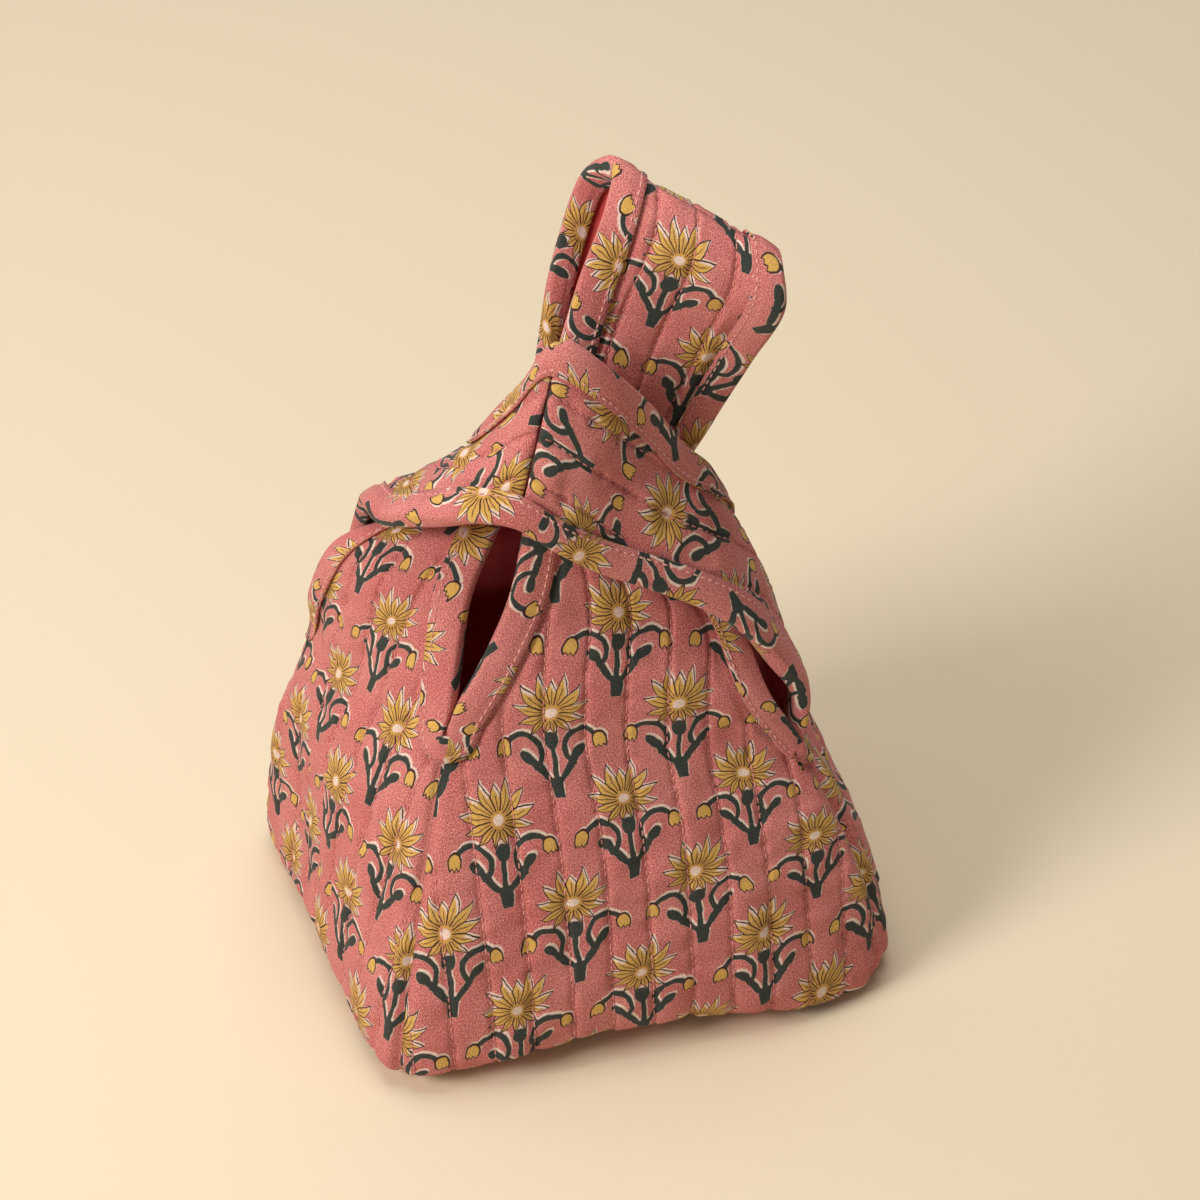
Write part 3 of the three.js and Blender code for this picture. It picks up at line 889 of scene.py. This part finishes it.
@dataclass(frozen=True)
class BindingRun:
    """A bias strip folded over one closed run of strap edges and topstitched."""

    name: str
    cad: str
    legs: tuple[tuple[str, float, Leg], ...]
    flat: Pair
    width: float = 10.0
    cloth: float = 1.0
    gap: float = 0.6
    stack: float = 3.35
    reach: float = 1.8
    foot_reach: float = 0.5
    inside_share: float = 0.72
    lip: float = 0.2
    spacing: float = 2.4

    def edge(self, name: str, side: float) -> Stations:
        """Stations up a strap edge.

        Args:
            name: gore.
            side: 0 for its left edge, 1 for its right.

        Returns:
            Stations from just above the foot to the shoulder seam.
        """
        gore = Gore(name)
        height = gore.even_heights(self.spacing, PARTING_ROW + 0.08, TOP_ROW)[1:]
        share = np.abs(side - np.linspace(0, 0.45, 46))
        face = gore.face(share, height)
        out = gore.directions(share, height, MITRE_REACH)
        marks = np.array(STRIP_MARKS) * self.width
        lines, ups = (
            np.array([resample(marks, run, row) for run, row in zip(lengths(face), grid)])
            for grid in (face, out)
        )
        opening = gore.neighbour(side).face(np.array([1 - side]), height)[:, 0] - lines[:, -1]
        reach = np.minimum(self.reach, 0.45 * np.linalg.norm(opening, axis=1))
        return Stations(lines, ups, unit(lines[:, -1] - lines[:, -3]), reach)

    def foot(self, name: str, side: float) -> Stations:
        """Stations fanned around the foot of a slit, so the strip turns in a round end.

        Args:
            name: gore.
            side: 0 for its left edge, 1 for its right.

        Returns:
            Stations from straight down to nearly level.
        """
        gore = Gore(name)
        rows = np.array([PARTING_ROW, PARTING_ROW - 0.5, PARTING_ROW + 0.3])
        foot, below, above = gore.face(np.array([side]), rows)[:, 0]
        row_length = 2 * np.linalg.norm(foot - below)
        ends = gore.face(np.array([0.0, 1.0]), rows[:1])[0]
        width = np.linalg.norm(ends[1] - ends[0])
        inward = 1 - 2 * side
        lines, ups = [], []
        for turn in np.radians(FOOT_TURNS):
            line, up = [], []
            for mark in np.maximum(STRIP_MARKS, FOOT_GAP) * self.width:
                share = np.array([side + inward * mark * math.cos(turn) / width])
                height = np.array([PARTING_ROW - mark * math.sin(turn) / row_length])
                line.append(gore.face(share, height)[0, 0])
                up.append(gore.directions(share, height, MITRE_REACH)[0, 0])
            lines.append(line)
            ups.append(up)
        beyond = np.repeat(unit(above - foot)[None], len(lines), axis=0)
        return Stations(
            np.array(lines), np.array(ups), beyond, np.full(len(lines), self.foot_reach)
        )

    def sections(self, strip: Stations) -> Array:
        """Sections of the folded strip.

        Args:
            strip: its stations.

        Returns:
            Stations by section corners by three.
        """
        lines, ups, beyond = strip.lines, strip.ups, strip.beyond
        far = self.gap + self.cloth
        rise = far + np.array(STRIP_PUFF)[None, :, None]
        inside = lines[:, -1:] + (lines - lines[:, -1:]) * self.inside_share
        inner = inside - ups * (self.stack + rise)
        edge, up = lines[:, -1], ups[:, -1]
        middle = edge - up * self.stack / 2
        half = self.stack / 2 + far
        fold = [
            middle + up * half * math.cos(turn)
            + beyond * (strip.reach * math.sin(turn) ** 0.7)[:, None]
            for turn in np.linspace(0.12, 0.88, 6) * np.pi
        ]
        back = [
            inside[:, 0] - ups[:, 0] * (self.stack + self.gap),
            edge - up * (self.stack + self.gap) + beyond * self.lip,
            edge + up * self.gap + beyond * self.lip,
            lines[:, 0] + ups[:, 0] * self.gap,
        ]
        outer = lines + ups * rise
        around = [outer, np.stack(fold, axis=1), inner[:, ::-1], np.stack(back, axis=1)]
        return np.concatenate(around, axis=1)

    def make(self, finishes: "Finishes") -> tuple[Piece, ...]:
        """Build the binding and its topstitching.

        Args:
            finishes: materials of the bag.

        Returns:
            The binding and the thread.
        """
        parts = []
        for name, side, leg in self.legs:
            foot, edge = self.foot(name, side), self.edge(name, side)
            if leg is Leg.UP:
                parts += [foot, edge]
            else:
                parts += [edge.pick(slice(-2, None, -1)), foot.pick(slice(None, 0, -1))]
        strip = Stations.join(parts)
        sections = self.sections(strip)
        run = lengths(closed(strip.lines)[:, 0])
        LOG.info("%s: %.0f mm along its border", self.name, run[-1])
        girth = lengths(closed(sections))
        along = np.broadcast_to(run[:, None], girth.shape)
        bias = np.stack([(along + girth) * BIAS, (girth - along) * BIAS], axis=-1)
        maps = {"print": bias / BLOCK, "flat": np.stack([girth, along], axis=-1)}
        piece = ring(self.name, sections, maps)
        piece.data.materials.append(finishes.print_cotton)
        stand_for(piece, self.cad)
        up = strip.ups[:, 1]
        path = sections[:, 1] + self.lip * up
        thread = Thread(0.3, 2.0, 2.9)
        thread = thread.sew(f"{self.name}_stitches", [(path, up)], finishes.top_thread)
        return piece, thread


def linear(red: int, green: int, blue: int) -> Colour:
    """Turn an everyday colour into the linear colour shaders use.

    Args:
        red: from 0 to 255.
        green: from 0 to 255.
        blue: from 0 to 255.

    Returns:
        Red, green, blue and 1.
    """
    share = [c / 255 for c in (red, green, blue)]
    r, g, b = (c / 12.92 if c <= 0.04045 else ((c + 0.055) / 1.055) ** 2.4 for c in share)
    return (r, g, b, 1.0)


class Term:
    """A number inside a node tree, written with ordinary sums."""

    def __init__(self, tree: bpy.types.NodeTree, socket: Socket) -> None:
        """Wrap a socket."""
        self.tree = tree
        self.socket = socket

    def sum(self, operation: str, *others: "Term | float", clamp: bool = False) -> "Term":
        """Add a math node.

        Args:
            operation: name of the sum.
            others: further inputs, terms or plain numbers.
            clamp: keep the answer between 0 and 1.

        Returns:
            The answer.
        """
        node = self.tree.nodes.new("ShaderNodeMath")
        node.operation = operation
        node.use_clamp = clamp
        for slot, value in enumerate((self, *others)):
            if isinstance(value, Term):
                self.tree.links.new(value.socket, node.inputs[slot])
            else:
                node.inputs[slot].default_value = value
        return Term(self.tree, node.outputs[0])

    def __add__(self, other: "Term | float") -> "Term":
        """Sum."""
        return self.sum("ADD", other)

    def __sub__(self, other: "Term | float") -> "Term":
        """Difference."""
        return self.sum("SUBTRACT", other)

    def __mul__(self, other: "Term | float") -> "Term":
        """Product."""
        return self.sum("MULTIPLY", other)

    def __truediv__(self, other: "Term | float") -> "Term":
        """Quotient."""
        return self.sum("DIVIDE", other)

    def __pow__(self, other: "Term | float") -> "Term":
        """Power."""
        return self.sum("POWER", other)

    def size(self) -> "Term":
        """Value without its sign."""
        return self.sum("ABSOLUTE")

    def fract(self) -> "Term":
        """Part after the point."""
        return self.sum("FRACT")

    def less(self, other: "Term | float") -> "Term":
        """The smaller of two."""
        return self.sum("MINIMUM", other)

    def more(self, other: "Term | float") -> "Term":
        """The larger of two."""
        return self.sum("MAXIMUM", other)

    def limited(self, gain: float = 1.0) -> "Term":
        """Value times a gain, kept between 0 and 1."""
        return self.sum("MULTIPLY", gain, clamp=True)

    def fill(self, soft: float = 0.16) -> "Term":
        """Mask of where a signed distance is inside."""
        return self.sum("MULTIPLY_ADD", 1 / soft, 0.5, clamp=True)

    def line(self, half: float, soft: float = 0.14) -> "Term":
        """Mask of a line where a signed distance is zero."""
        return self.size().sum("MULTIPLY_ADD", -1 / soft, half / soft + 0.5, clamp=True)


class Sketch:
    """A node tree with the few helpers the finishes need."""

    def __init__(self, tree: bpy.types.NodeTree) -> None:
        """Wrap a tree."""
        self.tree = tree

    def node(self, kind: str, **settings: object) -> bpy.types.Node:
        """Add a node and set its options.

        Args:
            kind: type of the node.
            settings: its options by name.

        Returns:
            The node.
        """
        made = self.tree.nodes.new(kind)
        for key, value in settings.items():
            setattr(made, key, value)
        return made

    def link(self, source: Socket, target: Socket) -> None:
        """Join two sockets."""
        self.tree.links.new(source, target)

    def flat_map(self, name: str) -> Socket:
        """Flat coordinates of a mesh, by map name."""
        return self.node("ShaderNodeUVMap", uv_map=name).outputs[0]

    def group(self, tree: bpy.types.NodeTree, place: Socket) -> bpy.types.Node:
        """Place a node group.

        Args:
            tree: the group.
            place: what its first input reads.

        Returns:
            The group's node.
        """
        node = self.node("ShaderNodeGroup", node_tree=tree)
        self.link(place, node.inputs[0])
        return node

    def split(self, vector: Socket) -> tuple[Term, Term]:
        """Take a vector apart.

        Args:
            vector: the whole.

        Returns:
            Its first two parts.
        """
        node = self.node("ShaderNodeSeparateXYZ")
        self.link(vector, node.inputs[0])
        return Term(self.tree, node.outputs[0]), Term(self.tree, node.outputs[1])

    def join(self, x: Term, y: Term) -> Socket:
        """Put two terms together.

        Args:
            x: first part.
            y: second part.

        Returns:
            Their vector.
        """
        node = self.node("ShaderNodeCombineXYZ")
        self.link(x.socket, node.inputs[0])
        self.link(y.socket, node.inputs[1])
        return node.outputs[0]

    def noise_node(self, vector: Socket, scale: float, detail: float) -> bpy.types.Node:
        """Noise texture.

        Args:
            vector: where to read it.
            scale: waves for each unit of the vector.
            detail: finer layers.

        Returns:
            The node.
        """
        node = self.node("ShaderNodeTexNoise")
        node.inputs["Scale"].default_value = scale
        node.inputs["Detail"].default_value = detail
        self.link(vector, node.inputs["Vector"])
        return node

    def noise(self, vector: Socket, scale: float, detail: float = 2.0) -> Term:
        """Noise from about -0.5 to 0.5."""
        return Term(self.tree, self.noise_node(vector, scale, detail).outputs[0]) - 0.5

    def drift(self, vector: Socket, scale: float) -> tuple[Term, Term]:
        """Two noises that move a place aside, each from about -0.5 to 0.5."""
        x, y = self.split(self.noise_node(vector, scale, 2.0).outputs[1])
        return x - 0.5, y - 0.5

    def shaded(self, colour: Socket, shade: Term) -> Socket:
        """Darken or lighten a colour.

        Args:
            colour: the plain colour.
            shade: what it is multiplied by.

        Returns:
            The shaded colour.
        """
        node = self.node("ShaderNodeVectorMath", operation="SCALE")
        self.link(colour, node.inputs[0])
        self.link(shade.socket, node.inputs["Scale"])
        return node.outputs[0]

    def mix(self, share: Term, first: "Socket | Colour", second: "Socket | Colour") -> Socket:
        """Mix two colours.

        Args:
            share: how much of the second.
            first: socket or plain colour.
            second: socket or plain colour.

        Returns:
            The mixed colour.
        """
        node = self.node("ShaderNodeMix", data_type="RGBA", blend_type="MIX")
        self.link(share.socket, node.inputs[0])
        for slot, colour in ((6, first), (7, second)):
            if isinstance(colour, tuple):
                node.inputs[slot].default_value = colour
            else:
                self.link(colour, node.inputs[slot])
        return node.outputs[2]


def new_group(
    name: str, inputs: dict[str, str], outputs: dict[str, str]
) -> tuple[Sketch, bpy.types.Node, bpy.types.Node]:
    """Start a node group with named sockets.

    Args:
        name: name of the group.
        inputs: kind of each input by name.
        outputs: kind of each output by name.

    Returns:
        The group's sketch, its input node and its output node.
    """
    tree = bpy.data.node_groups.new(name, "ShaderNodeTree")
    for way, sockets in (("INPUT", inputs), ("OUTPUT", outputs)):
        for socket, kind in sockets.items():
            tree.interface.new_socket(name=socket, in_out=way, socket_type=f"NodeSocket{kind}")
    sketch = Sketch(tree)
    return sketch, sketch.node("NodeGroupInput"), sketch.node("NodeGroupOutput")


@dataclass(frozen=True)
class PrintInks:
    """Colours of the block print."""

    ground: Colour = linear(188, 84, 83)
    ground_faded: Colour = linear(229, 154, 145)
    ochre: Colour = linear(222, 176, 90)
    ochre_deep: Colour = linear(198, 144, 70)
    green: Colour = linear(40, 60, 54)
    cream: Colour = linear(238, 212, 196)
    outline: Colour = linear(56, 32, 36)


class Flower:
    """One printed flower: millimetres inside each of its parts, the same left and right."""

    petals: int = 13

    def __init__(self, x: Term, y: Term, slip: Pair = (0.0, 0.0)) -> None:
        """Measure from the flower's eye.

        Args:
            x: millimetres across.
            y: millimetres up.
            slip: how far this block slipped, across and up.
        """
        self.u = (x - slip[0]).size()
        self.v = y - slip[1]

    def oval(self, centre: Pair, radii: Pair, tilt: float = 0.0) -> Term:
        """Distance inside an oval.

        Args:
            centre: its middle, across and up.
            radii: half its length and half its width.
            tilt: degrees its length is turned up from level.

        Returns:
            Distance inside.
        """
        cos, sin = math.cos(math.radians(tilt)), math.sin(math.radians(tilt))
        u, v = self.u - centre[0], self.v - centre[1]
        along = (u * cos + v * sin) / radii[0]
        across = (v * cos - u * sin) / radii[1]
        return ((along * along + across * across).sum("SQRT") * -1 + 1) * min(radii)

    def head(self) -> tuple[Term, Term, Term]:
        """Petals, long at the top of the head and short at its sides.

        Returns:
            Distance inside, place across a petal, and distance from the eye.
        """
        radius = (self.u * self.u + self.v * self.v).sum("SQRT")
        angle = self.u.sum("ARCTAN2", self.v) + (radius - 7).more(0) * 0.022
        across = ((angle * (self.petals / (2 * math.pi)) + 0.5).fract() - 0.5).size() * 2
        tip = (angle - 0.8).sum("COSINE") * 3.4 + 9.9
        return tip - tip * 0.43 * across ** 0.85 - radius, across, radius

    def greenery(self) -> Term:
        """Foot and stem, calyx, leaves and hooked arms.

        Returns:
            Distance inside.
        """
        u, v = self.u, self.v
        foot = ((v + 28) / 8).limited() + 1.7
        shape = (foot - u).less(v + 28.2).less(v * -1 - 21.0)
        shape = shape.more((u * -1 + 0.95).less(v + 24).less(v * -1 - 9))
        shape = shape.more(self.oval((0, -9.6), (2.5, 2.9)))
        shape = shape.more(self.oval((5.0, -18.3), (6.6, 1.35), 52))
        shape = shape.more(self.oval((8.6, -14.0), (3.1, 1.7), 40))
        du, dv = u - 10.3, v + 12.8
        hook = ((du * du + dv * dv).sum("SQRT") - 6.2).size() * -1 + 0.95
        hook = hook.less((dv + 1.5).more(du * -1 - 3)).less(dv + 5.5).less(du * -1 + 4.8)
        return shape.more(hook)

    def bell(self) -> Term:
        """Bell bud with a toothed rim.

        Returns:
            Distance inside.
        """
        teeth = ((self.u * 0.62 + 0.15).fract() - 0.5).size() * 2.2
        return self.oval((16.2, -10.9), (2.35, 3.3), 12).less(self.v + 13.3 - teeth * 0.9)


def flower_group(inks: PrintInks) -> bpy.types.NodeTree:
    """One flower on its stem, each ink from a block of its own that slipped a little.

    Args:
        inks: colours of the print.

    Returns:
        Group that takes millimetres from the flower's eye and gives its ink and cover.
    """
    sketch, given, made = new_group(
        "flower_block", {"Place": "Vector"}, {"Ink": "Color", "Cover": "Float"}
    )
    x, y = sketch.split(given.outputs[0])
    flower = Flower(x, y)
    petals, across, radius = flower.head()
    green, buds = flower.greenery(), flower.bell()
    cream = Flower(x, y, (0.5, 0.6)).head()[0] - 0.05
    cream = cream.more(Flower(x, y, (0.5, 1.0)).greenery() - 0.1)
    cream = cream.more(Flower(x, y, (0.4, 0.8)).bell() + 0.1)
    ochre = (Flower(x, y, (-0.7, -0.8)).head()[0] + 0.1).fill(0.3)
    ochre = ochre.less(petals.fill()).more(buds.fill())
    deep = (radius * -0.18 + 1.5).limited(0.55) * petals.fill()
    spread = radius * 0.24
    between = ((across * -1 + 1) * spread).line(0.24, 0.2) * (radius - 2.6).fill(0.5)
    between = between * (petals + 0.4).fill(0.5)
    rib = (across * spread).line(0.17, 0.2) * (radius - 3.0).fill(0.5)
    rib = rib * (radius * -1 + 9.2).fill(1.5) * 0.85
    edge = petals.line(0.46, 0.22).more(buds.line(0.3, 0.2))
    ink = inks.cream
    for cover, colour in (
        (green.fill(0.3), inks.green),
        (ochre, inks.ochre),
        (deep, inks.ochre_deep),
        (between.more(rib), inks.outline),
        (flower.oval((0, 0), (1.9, 1.6)).fill(0.4), inks.cream),
        (edge, inks.outline),
    ):
        ink = sketch.mix(cover, ink, colour)
    cover = cream.fill(0.25).more(green.fill(0.3)).more(petals.fill()).more(buds.fill())
    sketch.link(ink, made.inputs[0])
    sketch.link(cover.more(edge).socket, made.inputs[1])
    return sketch.tree


def print_group(inks: PrintInks) -> bpy.types.NodeTree:
    """The repeating block print on its mottled ground.

    Args:
        inks: colours of the print.

    Returns:
        Group that takes repeats of the block and gives the cloth's colour and its ink.
    """
    sketch, given, made = new_group(
        "block_print", {"Repeats": "Vector"}, {"Color": "Color", "Ink": "Float"}
    )
    width, height = map(float, BLOCK)
    slow_drift, quick_drift, eye_height = 3.4, 0.55, 46.0
    i, j = sketch.split(given.outputs[0])
    plain = sketch.join(i * width, j * height)
    slow_x, slow_y = sketch.drift(plain, 0.085)
    quick_x, quick_y = sketch.drift(plain, 0.55)
    i = i + slow_x * (slow_drift / width) + quick_x * (quick_drift / width)
    j = j + slow_y * (slow_drift / height) + quick_y * (quick_drift / height)
    cloud = sketch.noise(plain, 0.035, 3.0)
    blotch = sketch.noise(plain, 0.3, 3.0)
    grain = sketch.noise(plain, 3.0)
    heather = sketch.noise(plain, 1.5, 3.0)
    faded = (cloud * 0.9 + heather * 1.7 + grain * 2.8 + 0.42).limited()
    missed = (grain * 2.2 + heather * 1.6 + 1.16).limited()
    colour = sketch.mix(faded, inks.ground, inks.ground_faded)
    flower = flower_group(inks)
    covers = []
    for shift in (0.0, 0.5):
        x = ((i + (0.5 + shift)).fract() - 0.5) * width
        y = (j + (eye_height / height + shift)).fract() * height - eye_height
        block = sketch.group(flower, sketch.join(x, y))
        covers.append(Term(sketch.tree, block.outputs[1]) * missed)
        colour = sketch.mix(covers[-1], colour, block.outputs[0])
    tone = heather * 0.45 + grain * 0.8 + blotch * 0.2 + 0.97
    sketch.link(sketch.shaded(colour, tone), made.inputs[0])
    sketch.link(covers[0].more(covers[1]).socket, made.inputs[1])
    return sketch.tree


def weave_group() -> bpy.types.NodeTree:
    """Plain weave with slubs: height of the threads and their shading.

    Returns:
        Group that takes flat millimetres and gives a height and a painted shade near 1.
    """
    sketch, given, made = new_group(
        "woven_cotton", {"Flat": "Vector", "Pitch": "Float"}, {"Height": "Float", "Shade": "Float"}
    )
    x, y = sketch.split(given.outputs[0])
    pitch = Term(sketch.tree, given.outputs[1])
    slub = sketch.noise(given.outputs[0], 0.7, 3.0)
    u = (x + slub * 0.5) / pitch * math.pi
    v = (y + slub * 0.5) / pitch * math.pi
    warp = u.sum("SINE").size() * (v.sum("COSINE") * 0.3 + 0.7)
    weft = v.sum("SINE").size() * (u.sum("COSINE") * 0.3 + 0.7)
    height = warp.more(weft) + slub * 0.7
    # Painted shade: lighter where the threads stand high, darker in the hollows between them; the
    # noise adds random tone
    shade = height * 0.12 + sketch.noise(given.outputs[0], 2.1) * 0.22 + 0.92
    sketch.link(height.socket, made.inputs[0])
    sketch.link(shade.socket, made.inputs[1])
    return sketch.tree


def matt(name: str, roughness: float, sheen: float) -> tuple[bpy.types.Material, bpy.types.Node]:
    """Start a material with a matt shader.

    Args:
        name: name of the material.
        roughness: of its shader.
        sheen: weight of its sheen.

    Returns:
        The material and its shader.
    """
    material = bpy.data.materials.new(name)
    material.use_nodes = True
    shader = material.node_tree.nodes["Principled BSDF"]
    shader.inputs["Roughness"].default_value = roughness
    shader.inputs["Sheen Weight"].default_value = sheen
    shader.inputs["Sheen Roughness"].default_value = 0.5
    shader.inputs["Specular IOR Level"].default_value = 0.25
    return material, shader


@dataclass(frozen=True, kw_only=True)
class Cloth:
    """A woven finish: how it takes light, and the size and depth of its weave."""

    name: str
    roughness: float
    pitch: float
    bump: float
    sheen: float = 0.1
    thread_depth: float = 0.0002

    def colour(self, sketch: Sketch) -> Socket:
        """Colour of the cloth before its weave shades it."""
        raise NotImplementedError

    def make(self, weave: bpy.types.NodeTree) -> bpy.types.Material:
        """Make the material.

        Args:
            weave: the shared weave.

        Returns:
            The material.
        """
        material, shader = matt(self.name, self.roughness, self.sheen)
        sketch = Sketch(material.node_tree)
        woven = sketch.group(weave, sketch.flat_map("flat"))
        woven.inputs[1].default_value = self.pitch
        bump = sketch.node("ShaderNodeBump")
        bump.inputs["Strength"].default_value = self.bump
        bump.inputs["Distance"].default_value = self.thread_depth
        sketch.link(woven.outputs[0], bump.inputs["Height"])
        sketch.link(bump.outputs[0], shader.inputs["Normal"])
        # The weave's painted shade darkens the colour in the hollows between threads
        colour = sketch.shaded(self.colour(sketch), Term(sketch.tree, woven.outputs[1]))
        sketch.link(colour, shader.inputs["Base Color"])
        return material


@dataclass(frozen=True, kw_only=True)
class PrintedCotton(Cloth):
    """Block-printed cotton of the panels, the base and the bindings."""

    inks: PrintInks = PrintInks()

    def colour(self, sketch: Sketch) -> Socket:
        """The block print."""
        return sketch.group(print_group(self.inks), sketch.flat_map("print")).outputs[0]


@dataclass(frozen=True, kw_only=True)
class DyedCotton(Cloth):
    """Plain dyed cloth or thread, a little uneven."""

    deep: Colour
    light: Colour

    def colour(self, sketch: Sketch) -> Socket:
        """Clouds of a deeper and a lighter dye."""
        cloud = sketch.noise(sketch.flat_map("flat"), 0.12, 3.0)
        return sketch.mix((cloud * 1.5 + 0.5).limited(), self.deep, self.light)


@dataclass(frozen=True)
class FloorPaper:
    """Plain cream paper under the bag."""

    colour: Colour = linear(238, 221, 192)
    roughness: float = 0.9

    def make(self) -> bpy.types.Material:
        """Make the material.

        Returns:
            The material.
        """
        material, shader = matt("cream_floor", self.roughness, 0.0)
        shader.inputs["Base Color"].default_value = self.colour
        return material


class Finishes:
    """All materials of the bag and of the floor."""

    def __init__(self) -> None:
        """Make the shared weave and each material."""
        weave = weave_group()
        self.print_cotton = PrintedCotton(
            name="block_printed_cotton", roughness=0.86, pitch=0.42, bump=0.45
        ).make(weave)
        self.lining = DyedCotton(
            name="coral_lining", deep=linear(196, 62, 62), light=linear(222, 92, 88),
            roughness=0.88, pitch=0.5, bump=0.2,
        ).make(weave)
        self.thread = DyedCotton(
            name="sewing_thread", deep=linear(214, 128, 122), light=linear(236, 164, 154),
            roughness=0.6, pitch=0.35, bump=0.15,
        ).make(weave)
        self.top_thread = DyedCotton(
            name="topstitch_thread", deep=linear(222, 146, 138), light=linear(240, 184, 172),
            roughness=0.6, pitch=0.35, bump=0.15,
        ).make(weave)
        self.paper = FloorPaper().make()


@dataclass(frozen=True)
class Lamp:
    """One soft square light, aimed at the middle of the bag."""

    name: str
    place: Place
    size: float
    power: float
    colour: Colour
    aim: Place = (0.0, 0.0, 0.08)

    def make(self) -> Piece:
        """Hang the light.

        Returns:
            The light.
        """
        lamp = bpy.data.lights.new(self.name, "AREA")
        lamp.size = self.size
        lamp.energy = self.power
        lamp.color = self.colour
        light = bpy.data.objects.new(self.name, lamp)
        light.location = self.place
        aim = Vector(self.aim) - Vector(self.place)
        light.rotation_euler = aim.to_track_quat("-Z", "Y").to_euler()
        bpy.context.scene.collection.objects.link(light)
        return light


@dataclass(frozen=True)
class Studio:
    """Camera, floor and soft lights."""

    azimuth: float = -20.0
    elevation: float = 44.0
    focal_length: float = 98.4
    sensor: float = 36.0
    location: Place = (-0.2546, -0.7327, 0.8956)
    floor_half: float = 4000.0
    sky: Colour = (1.0, 0.97, 0.93, 1.0)
    sky_strength: float = 0.13
    lamps: tuple[Lamp, ...] = (
        Lamp("key", (-1.3, -0.2, 1.1), 0.6, 20.0, (1.0, 0.97, 0.93)),
        Lamp("top", (0.05, 0.4, 1.7), 1.1, 16.5, (1.0, 0.98, 0.95)),
        Lamp("fill", (0.6, -1.6, 0.9), 1.6, 1.3, (1.0, 0.96, 0.92)),
    )

    def camera(self) -> Piece:
        """Set the camera at the photo's angle.

        Returns:
            The camera.
        """
        lens = bpy.data.cameras.new("camera")
        lens.lens = self.focal_length
        lens.sensor_width = self.sensor
        lens.clip_start = 0.01
        lens.clip_end = 20.0
        camera = bpy.data.objects.new("camera", lens)
        camera.location = self.location
        tilt = math.radians(90 - self.elevation)
        camera.rotation_euler = (tilt, 0.0, math.radians(self.azimuth))
        bpy.context.scene.collection.objects.link(camera)
        bpy.context.scene.camera = camera
        return camera

    def build(self, finishes: Finishes) -> None:
        """Lay the floor and set the camera, the lights and the sky.

        Args:
            finishes: materials, of which the floor takes one.
        """
        signs = np.array([(-1, -1, 0), (1, -1, 0), (1, 1, 0), (-1, 1, 0)])
        floor = make_object("studio_floor", signs * self.floor_half, np.array([[0, 1, 2, 3]]), {})
        floor.data.materials.append(finishes.paper)
        world = bpy.data.worlds.new("studio")
        world.use_nodes = True
        sky = world.node_tree.nodes["Background"]
        sky.inputs[0].default_value = self.sky
        sky.inputs[1].default_value = self.sky_strength
        bpy.context.scene.world = world
        bpy.context.scene.view_settings.view_transform = "Standard"
        self.camera()
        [lamp.make() for lamp in self.lamps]


# Size each gore and its lining are cut to, in metres, and their area in square metres
CUT_SIZES = {
    "front": ((0.182, 0.326), 0.031),
    "left": ((0.138, 0.356), 0.0255),
    "right": ((0.139, 0.280), 0.0225),
    "back": ((0.176, 0.280), 0.029),
}
# Seed of the ripples, and where the print lies on each gore
PANELS = (
    QuiltedGore("front", *CUT_SIZES["front"], 1, (-25.8, 141.3), (43.08, 6.33), (-0.06, 63.83)),
    QuiltedGore("left", *CUT_SIZES["left"], 2, (26.3, 123.1), (35.0, -2.0), (0.0, 63.0)),
    QuiltedGore("right", *CUT_SIZES["right"], 3, (22.1, 252.9)),
    QuiltedGore("back", *CUT_SIZES["back"], 4, (-26.7, 141.5)),
)
LININGS = tuple(PlainLining(name, *size) for name, size in CUT_SIZES.items())
BASES = (
    BaseLayer("base_quilt", "base_panel", 0.0, 1.8, True),
    BaseLayer("base_cloth", "base_lining", 2.35, 1.0, False, inset=3.0),
)
BINDINGS = (
    BindingRun("long_loop_binding", "binding_long_armhole",
               (("front", 0.0, Leg.UP), ("left", 1.0, Leg.DOWN)), (0.46, 0.023)),
    BindingRun("short_loop_binding", "binding_short_armhole",
               (("back", 0.0, Leg.UP), ("right", 1.0, Leg.DOWN)), (0.38, 0.023)),
    BindingRun("neck_binding", "binding_neck",
               (("right", 0.0, Leg.UP), ("back", 1.0, Leg.DOWN),
                ("left", 0.0, Leg.UP), ("front", 1.0, Leg.DOWN)), (0.84, 0.023)),
)


def main() -> None:
    """Build every piece in order, then the studio."""
    logging.basicConfig(level=logging.INFO, format="%(message)s")
    finishes = Finishes()
    for part in (*PANELS, *LININGS, *BASES, *BINDINGS):
        for piece in part.make(finishes):
            count = sum(len(face.vertices) - 2 for face in piece.data.polygons)
            LOG.info("%s: %d triangles", piece.name, count)
    Studio().build(finishes)


if __name__ == "__main__":
    main()
